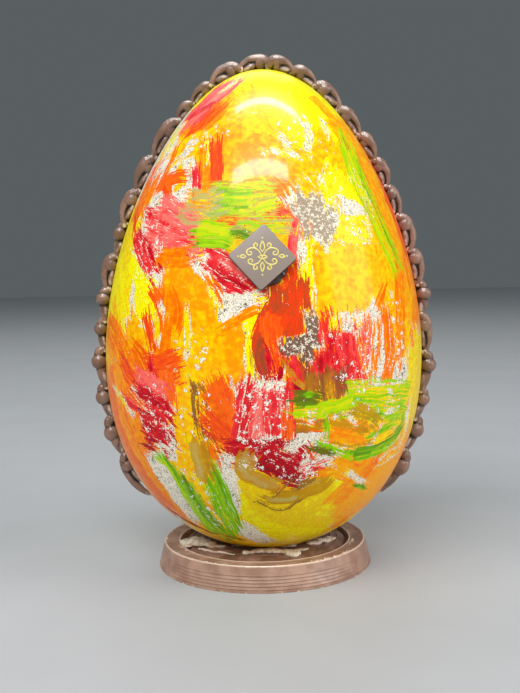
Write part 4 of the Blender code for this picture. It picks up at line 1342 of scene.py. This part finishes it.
# Smears of ivory butter: angle round the disc, radius, half-width out from the
# middle, half-thickness, all in mm and degrees.
SMEARS = (
    ((-178, 41.0, 1.2, 0.5), (-174, 42.0, 2.6, 0.8), (-169, 41.5, 3.6, 1.0),
     (-164, 41.0, 3.4, 0.9), (-160, 42.0, 2.0, 0.6)),
    ((-176, 37.0, 3.4, 1.2), (-168, 35.5, 5.0, 1.6), (-160, 34.5, 5.2, 1.5),
     (-152, 33.0, 4.2, 1.2), (-144, 31.0, 2.6, 0.9), (-136, 29.0, 1.4, 0.6)),
    ((-128, 26.0, 0.9, 0.7), (-116, 25.0, 1.2, 0.8), (-100, 24.6, 1.4, 0.9),
     (-84, 24.6, 1.4, 0.9), (-68, 25.4, 1.5, 0.9), (-56, 26.4, 1.4, 0.8)),
    ((-108, 33.6, 1.6, 0.8), (-100, 31.8, 2.6, 0.8), (-93, 30.6, 3.4, 0.9),
     (-85, 30.8, 3.8, 0.9), (-76, 31.6, 3.2, 0.9), (-68, 32.6, 2.6, 0.8),
     (-58, 32.8, 2.0, 0.7), (-50, 32.8, 1.2, 0.5)),
    ((-150, 38.4, 0.8, 0.5), (-140, 37.0, 1.0, 0.6), (-128, 36.4, 0.8, 0.6),
     (-116, 36.0, 0.6, 0.4)),
    ((-72, 35.8, 2.4, 1.2), (-67, 36.8, 3.0, 1.3), (-63, 36.2, 2.0, 1.0)),
    ((-107, 35.2, 1.1, 0.9), (-104, 35.0, 1.2, 0.9)),
    ((-40, 29.0, 1.8, 0.9), (-30, 30.8, 3.0, 1.2), (-22, 32.8, 3.4, 1.2),
     (-14, 35.0, 2.8, 1.0), (-9, 37.0, 1.6, 0.6)),
    ((60, 33.0, 1.0, 0.6), (70, 34.0, 1.8, 0.8), (82, 33.0, 1.4, 0.7)),
)


def make_smears(settings):
    # Ivory cocoa butter wiped from the mould's edge: soft, dull and dotted
    # with chocolate, lying in ragged lips.
    material, tree, shader = new_material("smeared_ivory_butter", 0.42, 1.45)
    add = partial(add_node, tree)
    place = in_mm(tree)
    tone = add("TexNoise", sized(place, 3.5, Detail=3.0))
    dots = add("TexVoronoi", sized(place, 1.1), "Distance")
    dots = swung(tree, dots, add("TexNoise", sized(place, 4.0)), 0.9)
    colour = coated(
        tree, "d8bfa4", (add("MapRange", (tone, 0.35, 0.65), **SMOOTH), "f2e8d6"),
        (add("MapRange", (dots, 0.16, 0.06), **SMOOTH), "4c382e"),
    )
    finish(tree, shader, colour, add("TexNoise", sized(place, 0.9, Detail=3.0)), 0.12, 0.7)
    shader.inputs["Subsurface Weight"].default_value = 0.15
    shader.inputs["Subsurface Scale"].default_value = 0.002

    bm = bmesh.new()
    for smear in SMEARS:
        for degrees, radius, half, thick in smooth_path(smear, 1.6):
            angle = math.radians(degrees)
            out = Vector((math.cos(angle), math.sin(angle), 0.0))
            along = Vector((-out.y, out.x, 0.0))
            rag = 1.0 + 0.35 * field.noise(Vector((degrees * 0.35, radius * 0.5, half)))
            centre = out * radius
            centre.z = bed_height(radius, angle) + thick * 0.35
            add_lump(bm, centre, (1.3, half * rag, thick), 12, (along, out, UP))
    bmesh.ops.transform(bm, matrix=IN_METRES, verts=bm.verts)
    bm = fused(bm)
    for vert in bm.verts:
        vert.co += vert.normal * MM * (
            0.35 * field.noise(vert.co * 500.0) + 0.15 * field.noise(vert.co * 1400.0)
        )
    new_piece("ivory_smears", bm, material, angle=180.0)


# Where crumbs gathered on the disc: middle and half-spread of the angle in
# degrees, radius in mm, how many.
CRUMB_GROUPS = (
    (-52, 14, 52.0, 26), (-36, 10, 52.0, 14), (-113, 1, 51.6, 3), (-128, 30, 51.9, 8),
    (-158, 8, 46.0, 5), (-20, 12, 46.0, 6), (60, 60, 52.0, 12), (150, 40, 52.0, 8),
)


def make_crumbs(settings):
    # Shavings of ivory butter: broken, so dull, and paler in patches.
    material, tree, shader = new_material("ivory_crumbs", 0.5, 1.45)
    add = partial(add_node, tree)
    place = in_mm(tree)
    tone = add("MapRange", (add("TexNoise", sized(place, 5.0)), 0.3, 0.7), **SMOOTH)
    colour = coated(tree, "c9a98a", (tone, "f4ecdc"))
    finish(tree, shader, colour, add("TexNoise", sized(place, 0.4)), 0.1, 0.6)

    rng = np.random.default_rng(settings.crumb_seed)
    crumbs = []
    for degrees, spread, radius, count in CRUMB_GROUPS:
        for _ in range(count):
            angle = math.radians(degrees + rng.uniform(-spread, spread))
            away = radius + rng.normal(0.0, 0.5)
            size = rng.uniform(0.25, 0.75)
            away = min(away, DISC_RIM_RADIUS - size)
            on_rim = away >= DISC_RIM_RADIUS - 2.0
            crumbs.append((angle, away, DISC_HEIGHT - 0.15 if on_rim else DISC_LIP_Z, size))
    for _ in range(settings.crumb_count):
        angle = rng.uniform(-math.pi, math.pi)
        size = rng.uniform(0.2, 0.45)
        crumbs.append((angle, DISC_FOOT_RADIUS - 0.15, size * 0.8, size))
    bm = bmesh.new()
    for angle, away, z, size in crumbs:
        turn = Matrix.Rotation(rng.uniform(0.0, 6.28), 4, "Z")
        turn = turn @ Matrix.Rotation(rng.uniform(0.0, 3.0), 4, "X")
        at = Vector((away * math.cos(angle), away * math.sin(angle), z))
        shape = (rng.uniform(0.7, 1.6), rng.uniform(0.6, 1.0), 0.6, 1.0)
        bmesh.ops.create_icosphere(
            bm, subdivisions=2, radius=size,
            matrix=Matrix.Translation(at) @ turn @ Matrix.Diagonal(shape),
        )
    for vert in bm.verts:
        vert.co += vert.co.normalized() * 0.18 * field.noise(vert.co * 2.2)
        vert.co.z = max(vert.co.z, 0.02)
    new_piece(
        "butter_crumbs", bm, material, angle=60.0, place=IN_METRES,
    )


# ---- plaque ---------------------------------------------------------------------------

def plaque_place():
    """The plaque's back in the model's frame, in mm: X right, Y up, Z out."""
    angle = math.acos(PLAQUE_HEIGHT_ON_EGG / EGG_HALF_HEIGHT)
    outward = egg_point(angle, 1.0) - egg_point(angle)
    place = egg_point(angle, PLAQUE_STANDOFF)
    out = Vector((0.0, -outward.x, outward.y))
    right = Vector((1.0, 0.0, 0.0))
    return (
        egg_to_world()
        @ Matrix.Rotation(math.radians(PLAQUE_ASIDE_DEG), 4, "Z")
        @ Matrix.Translation((0.0, -place.x, place.y))
        @ Matrix((right, out.cross(right), out)).transposed().to_4x4()
    )


# Half of the plaque's gilt scrollwork, right of its middle, in mm.
SCROLLS = (
    ((0.6, 1.0), (1.8, 2.9), (4.0, 4.0), (6.3, 3.4), (7.0, 1.9), (6.0, 0.8), (4.8, 1.2),
     (4.9, 2.2), (5.7, 2.3)),
    ((0.6, -1.2), (2.0, -2.9), (4.2, -3.6), (6.0, -2.9), (6.2, -1.6), (5.1, -1.0),
     (4.3, -1.7), (4.8, -2.4)),
    ((3.0, 3.9), (3.9, 5.3), (2.9, 6.2), (2.1, 5.4), (2.6, 4.7)),
    ((3.2, -3.6), (4.0, -4.9), (3.1, -5.8), (2.2, -5.1), (2.7, -4.4)),
    ((7.2, 0.2), (8.6, 0.9), (9.8, 0.2), (8.6, -0.5), (7.2, 0.2)),
)
# The buds and the dots on its middle line.
BUDS = (
    ((0.0, 2.2), (-1.0, 4.2), (0.0, 7.0), (1.0, 4.2), (0.0, 2.2)),
    ((0.0, -2.4), (-0.8, -4.2), (0.0, -6.6), (0.8, -4.2), (0.0, -2.4)),
    ((-2.0, -0.1), (0.0, 0.7), (2.0, -0.1), (0.0, -0.9), (-2.0, -0.1)),
)
DOTS = ((0.0, 8.6), (0.0, -8.2), (10.8, 0.2), (-10.8, 0.2), (0.0, -0.1))


def make_plaque(settings):
    # Dark chocolate cast on a smooth sheet: its face satin, and paler than its
    # sides, partly from bloom and partly as painted sheen.
    material = chocolate_material(
        "sheet_cast_chocolate", "46362f", "544239", "8f7f74", 0.36, 3.0, 0.03,
    )
    bm = bmesh.new()
    bmesh.ops.create_cube(bm, size=1.0)
    bmesh.ops.scale(
        bm, vec=(PLAQUE_SIDE, PLAQUE_SIDE, PLAQUE_THICKNESS), verts=bm.verts,
    )
    bmesh.ops.translate(bm, vec=(0.0, 0.0, PLAQUE_THICKNESS / 2), verts=bm.verts)
    # the upright corners are rounded first, and then the level rims: the least
    # and the most that an edge rises, then the rounding
    for least, most, offset, segments in ((1.0, 4.0, 1.1, 6), (-1.0, 0.1, 0.35, 3)):
        edges = [
            e for e in bm.edges if least < abs(e.verts[0].co.z - e.verts[1].co.z) < most
        ]
        bmesh.ops.bevel(
            bm, geom=edges, offset=offset, segments=segments, profile=0.5, affect="EDGES",
            material=-1,
        )
    turn = Matrix.Rotation(math.radians(-PLAQUE_TURN_DEG), 4, "Z")
    piece = new_piece(
        "chocolate_plaque", bm, material, ("plaque",),
        place=plaque_place() @ turn,
    )
    back = plaque_place().inverted()
    # the face painted paler than the sides: partly bloom, partly painted sheen
    store(piece.data, "wear", "FLOAT", [
        1.6 * ((back @ vert.co).z > PLAQUE_THICKNESS - 0.08) for vert in piece.data.vertices
    ])

    # Pale gold cocoa butter, printed: thin, soft and slightly raised.
    gold, tree, shader = new_material("printed_gold_butter", 0.38, 1.45)
    add = partial(add_node, tree)
    place = in_mm(tree)
    tone = add("TexNoise", sized(place, 0.8))
    colour = coated(tree, hex_of(settings.gilt), (tone, "f2e486"))
    finish(tree, shader, colour, add("TexNoise", sized(place, 0.35)), 0.05, 0.5)
    bm = bmesh.new()
    paths = list(BUDS)
    for path in SCROLLS:
        paths += [path, tuple((-x, y) for x, y in path)]
    for path in paths:
        line = [Vector((x, y, PLAQUE_THICKNESS)) for x, y in smooth_path(path, 0.25)]
        last = len(line) - 1
        thick = [0.20 + 0.14 * math.sin(math.pi * i / last) for i in range(last + 1)]
        add_rope(bm, line, thick, UP, 8)
    for x, y in DOTS:
        add_lump(bm, Vector((x, y, PLAQUE_THICKNESS)), (0.42, 0.42, 0.3), 12)
    for vert in bm.verts:
        vert.co.z = PLAQUE_THICKNESS + (vert.co.z - PLAQUE_THICKNESS) * 0.55
    new_piece(
        "gilt_scrolls", bm, gold, angle=180.0, place=plaque_place(),
    )


def make_dab(settings):
    # The dab of melted chocolate that holds the plaque, still glossy.
    material = chocolate_material(
        "melted_chocolate_dab", "33201a", "46302a", "8a7468", 0.20, 1.6, 0.05,
    )
    bm = bmesh.new()
    add_lump(bm, Vector(), (7.4, 4.6, 2.6), 64)
    for vert in bm.verts:
        vert.co += vert.co.normalized() * 0.7 * (field.noise(vert.co * 0.45) - 0.35)
    place = plaque_place() @ Matrix.Translation(DAB_PLACE)
    place = place @ Matrix.Rotation(math.radians(DAB_TURN_DEG), 4, "Z")
    new_piece("melted_dab", bm, material, ("plaque_dab",), 180.0, place)


# ---- stage ---------------------------------------------------------------------------

CAMERA_PLACE = (-0.00033, -0.540, 0.167)
CAMERA_DOWN_DEG = 5.67
CAMERA_TURN_DEG = -1.21
LENS_MM = 54.19
MIDDLE = (0.0, 0.0, 0.13)
# Name, place and aim in metres, width, height, watts.
LIGHTS = (
    ("window_panel", (-0.65, -1.2, 1.45), MIDDLE, 2.4, 1.1, 42.0),
    ("ceiling_strip", (0.07, -0.01, 1.2), (0.07, 0.0, 0.2), 0.85, 0.10, 20.0),
    ("front_strip", (-0.03, -0.68, 1.2), (-0.03, 0.0, 0.2), 0.90, 0.13, 26.0),
    ("side_panel", (1.3, -0.5, 0.7), MIDDLE, 0.9, 0.9, 13.0),
    ("rear_panel", (-0.2, 1.1, 1.5), MIDDLE, 1.4, 0.8, 8.0),
)


def make_camera(scene):
    data = bpy.data.cameras.new("camera")
    data.sensor_fit = "VERTICAL"
    data.sensor_height = 36.0
    data.lens = LENS_MM
    data.clip_start = 0.01
    data.clip_end = 20.0
    camera = bpy.data.objects.new("camera", data)
    scene.collection.objects.link(camera)
    camera.matrix_world = (
        Matrix.Translation(CAMERA_PLACE)
        @ Matrix.Rotation(math.radians(90.0 - CAMERA_DOWN_DEG), 4, "X")
        @ Matrix.Rotation(math.radians(CAMERA_TURN_DEG), 4, "Z")
    )
    scene.camera = camera


def make_floor(scene):
    # A pale painted board: matt, faintly cloudy.
    material, tree, shader = new_material("pale_painted_board", 0.55)
    tone = add_node(tree, "TexNoise", sized(in_mm(tree), 60.0))
    finish(tree, shader, coated(tree, "b2b5b8", (tone, "bcbfc2")))
    bm = bmesh.new()
    bmesh.ops.create_grid(bm, x_segments=2, y_segments=2, size=3.0)
    mesh = bpy.data.meshes.new("floor")
    bm.to_mesh(mesh)
    bm.free()
    mesh.materials.append(material)
    floor = bpy.data.objects.new("floor", mesh)
    scene.collection.objects.link(floor)


def make_stage(settings):
    scene = bpy.context.scene
    scene.view_settings.view_transform = "Standard"
    make_camera(scene)
    world = bpy.data.worlds.new("studio")
    world.use_nodes = True
    background = world.node_tree.nodes["Background"]
    background.inputs["Color"].default_value = linear("bcc8cc")
    background.inputs["Strength"].default_value = settings.room_light
    scene.world = world
    make_floor(scene)
    for name, at, aim, width, height, power in LIGHTS:
        lamp = bpy.data.lights.new(name, "AREA")
        lamp.shape = "RECTANGLE"
        lamp.size = width
        lamp.size_y = height
        lamp.energy = power * settings.light_level
        light = bpy.data.objects.new(name, lamp)
        # the strips draw the highlights and the big panel lights the colours
        light.visible_glossy = name != "window_panel"
        light.visible_diffuse = not name.endswith("strip")
        scene.collection.objects.link(light)
        back = (Vector(at) - Vector(aim)).normalized()
        # a light overhead lies straight across the view
        overhead = abs(back.z) > 0.95
        across = Vector((1.0, 0.0, 0.0) if overhead else (-back.y, back.x, 0.0)).normalized()
        facing = Matrix((across, back.cross(across), back)).transposed()
        light.matrix_world = Matrix.Translation(at) @ facing.to_4x4()


# ---- add-on ----------------------------------------------------------------------------

def hex_of(colour):
    """A colour setting, which is linear, as an sRGB hex value."""
    parts = []
    for value in colour:
        value = value * 12.92 if value <= 0.0031308 else 1.055 * value ** (1 / 2.4) - 0.055
        parts.append(f"{round(max(0.0, min(1.0, value)) * 255):02x}")
    return "".join(parts)


def colour_setting(name, description, default):
    return FloatVectorProperty(
        name=name, description=description, subtype="COLOR", size=3, min=0.0, max=1.0,
        default=linear(default)[:3],
    )


class EggSettings(bpy.types.PropertyGroup):
    brush_seed: IntProperty(
        name="Brush seed", description="Which fall of the bristles is laid", default=7, min=0,
    )
    fall_seed: IntProperty(
        name="Piping seed", description="How the piped pulls vary", default=11, min=0,
    )
    crumb_seed: IntProperty(
        name="Crumb seed", description="Where the crumbs fall", default=3, min=0,
    )
    crumb_count: IntProperty(
        name="Crumbs at the foot", description="Crumbs along the disc's lower edge",
        default=60, min=0, max=400,
    )
    piped: colour_setting("Piped chocolate", "Deeper colour of the piping", "7a5c4c")
    cast: colour_setting("Cast chocolate", "Deeper colour of the disc", "987462")
    gilt: colour_setting("Gilt", "Colour of the scrollwork on the plaque", "d8c448")


class StageSettings(bpy.types.PropertyGroup):
    light_level: FloatProperty(
        name="Light level", description="Scales every light", default=1.0, min=0.0,
        max=4.0, subtype="FACTOR",
    )
    room_light: FloatProperty(
        name="Room light", description="Strength of the even light of the room",
        default=0.20, min=0.0, max=2.0,
    )


class EGG_OT_shells(bpy.types.Operator):
    """Cast both halves of the egg and brush their paint."""

    bl_idname = "egg.shells"
    bl_label = "Painted shell"
    bl_options = {"REGISTER", "UNDO"}

    def execute(self, context):
        make_shells(context.scene.chocolate_egg)
        return {"FINISHED"}


class EGG_OT_piping(bpy.types.Operator):
    """Pipe the pulls of dark chocolate round the seam."""

    bl_idname = "egg.piping"
    bl_label = "Piped seam"
    bl_options = {"REGISTER", "UNDO"}

    def execute(self, context):
        make_piping(context.scene.chocolate_egg)
        return {"FINISHED"}


class EGG_OT_disc(bpy.types.Operator):
    """Cast the ridged disc that the egg stands on."""

    bl_idname = "egg.disc"
    bl_label = "Moulded disc"
    bl_options = {"REGISTER", "UNDO"}

    def execute(self, context):
        make_disc(context.scene.chocolate_egg)
        return {"FINISHED"}


class EGG_OT_setting(bpy.types.Operator):
    """Pour the chocolate that holds the egg on its disc."""

    bl_idname = "egg.setting"
    bl_label = "Poured setting"
    bl_options = {"REGISTER", "UNDO"}

    def execute(self, context):
        make_setting(context.scene.chocolate_egg)
        return {"FINISHED"}


class EGG_OT_smears(bpy.types.Operator):
    """Smear the ivory butter round the egg's foot."""

    bl_idname = "egg.smears"
    bl_label = "Ivory smears"
    bl_options = {"REGISTER", "UNDO"}

    def execute(self, context):
        make_smears(context.scene.chocolate_egg)
        return {"FINISHED"}


class EGG_OT_crumbs(bpy.types.Operator):
    """Scatter the crumbs on the rim and at the foot."""

    bl_idname = "egg.crumbs"
    bl_label = "Crumbs"
    bl_options = {"REGISTER", "UNDO"}

    def execute(self, context):
        make_crumbs(context.scene.chocolate_egg)
        return {"FINISHED"}


class EGG_OT_plaque(bpy.types.Operator):
    """Cast the plaque and print its scrolls."""

    bl_idname = "egg.plaque"
    bl_label = "Plaque"
    bl_options = {"REGISTER", "UNDO"}

    def execute(self, context):
        make_plaque(context.scene.chocolate_egg)
        return {"FINISHED"}


class EGG_OT_dab(bpy.types.Operator):
    """Set the dab of chocolate under the plaque."""

    bl_idname = "egg.dab"
    bl_label = "Plaque dab"
    bl_options = {"REGISTER", "UNDO"}

    def execute(self, context):
        make_dab(context.scene.chocolate_egg)
        return {"FINISHED"}


class EGG_OT_stage(bpy.types.Operator):
    """Set up the floor, the lights and the camera."""

    bl_idname = "egg.stage"
    bl_label = "Stage"
    bl_options = {"REGISTER", "UNDO"}

    def execute(self, context):
        make_stage(context.scene.egg_stage)
        return {"FINISHED"}


OPERATORS = (
    EGG_OT_shells, EGG_OT_piping, EGG_OT_disc, EGG_OT_setting, EGG_OT_smears,
    EGG_OT_crumbs, EGG_OT_plaque, EGG_OT_dab, EGG_OT_stage,
)


class EGG_PT_panel(bpy.types.Panel):
    """The sidebar's list of settings and pieces."""

    bl_idname = "EGG_PT_panel"
    bl_label = "Chocolate Egg"
    bl_space_type = "VIEW_3D"
    bl_region_type = "UI"
    bl_category = "Chocolate Egg"

    def draw(self, context):
        for group in (context.scene.chocolate_egg, context.scene.egg_stage):
            box = self.layout.box()
            for name in group.bl_rna.properties.keys():
                if name not in ("name", "rna_type"):
                    box.prop(group, name)
        for operator in OPERATORS:
            self.layout.operator(operator.bl_idname)


CLASSES = (EggSettings, StageSettings, *OPERATORS, EGG_PT_panel)


def register():
    for cls in CLASSES:
        bpy.utils.register_class(cls)
    bpy.types.Scene.chocolate_egg = PointerProperty(type=EggSettings)
    bpy.types.Scene.egg_stage = PointerProperty(type=StageSettings)


def unregister():
    del bpy.types.Scene.egg_stage
    del bpy.types.Scene.chocolate_egg
    for cls in reversed(CLASSES):
        bpy.utils.unregister_class(cls)


def main():
    register()
    for operator in OPERATORS:
        group, name = operator.bl_idname.split(".")
        getattr(getattr(bpy.ops, group), name)()


if __name__ == "__main__":
    main()
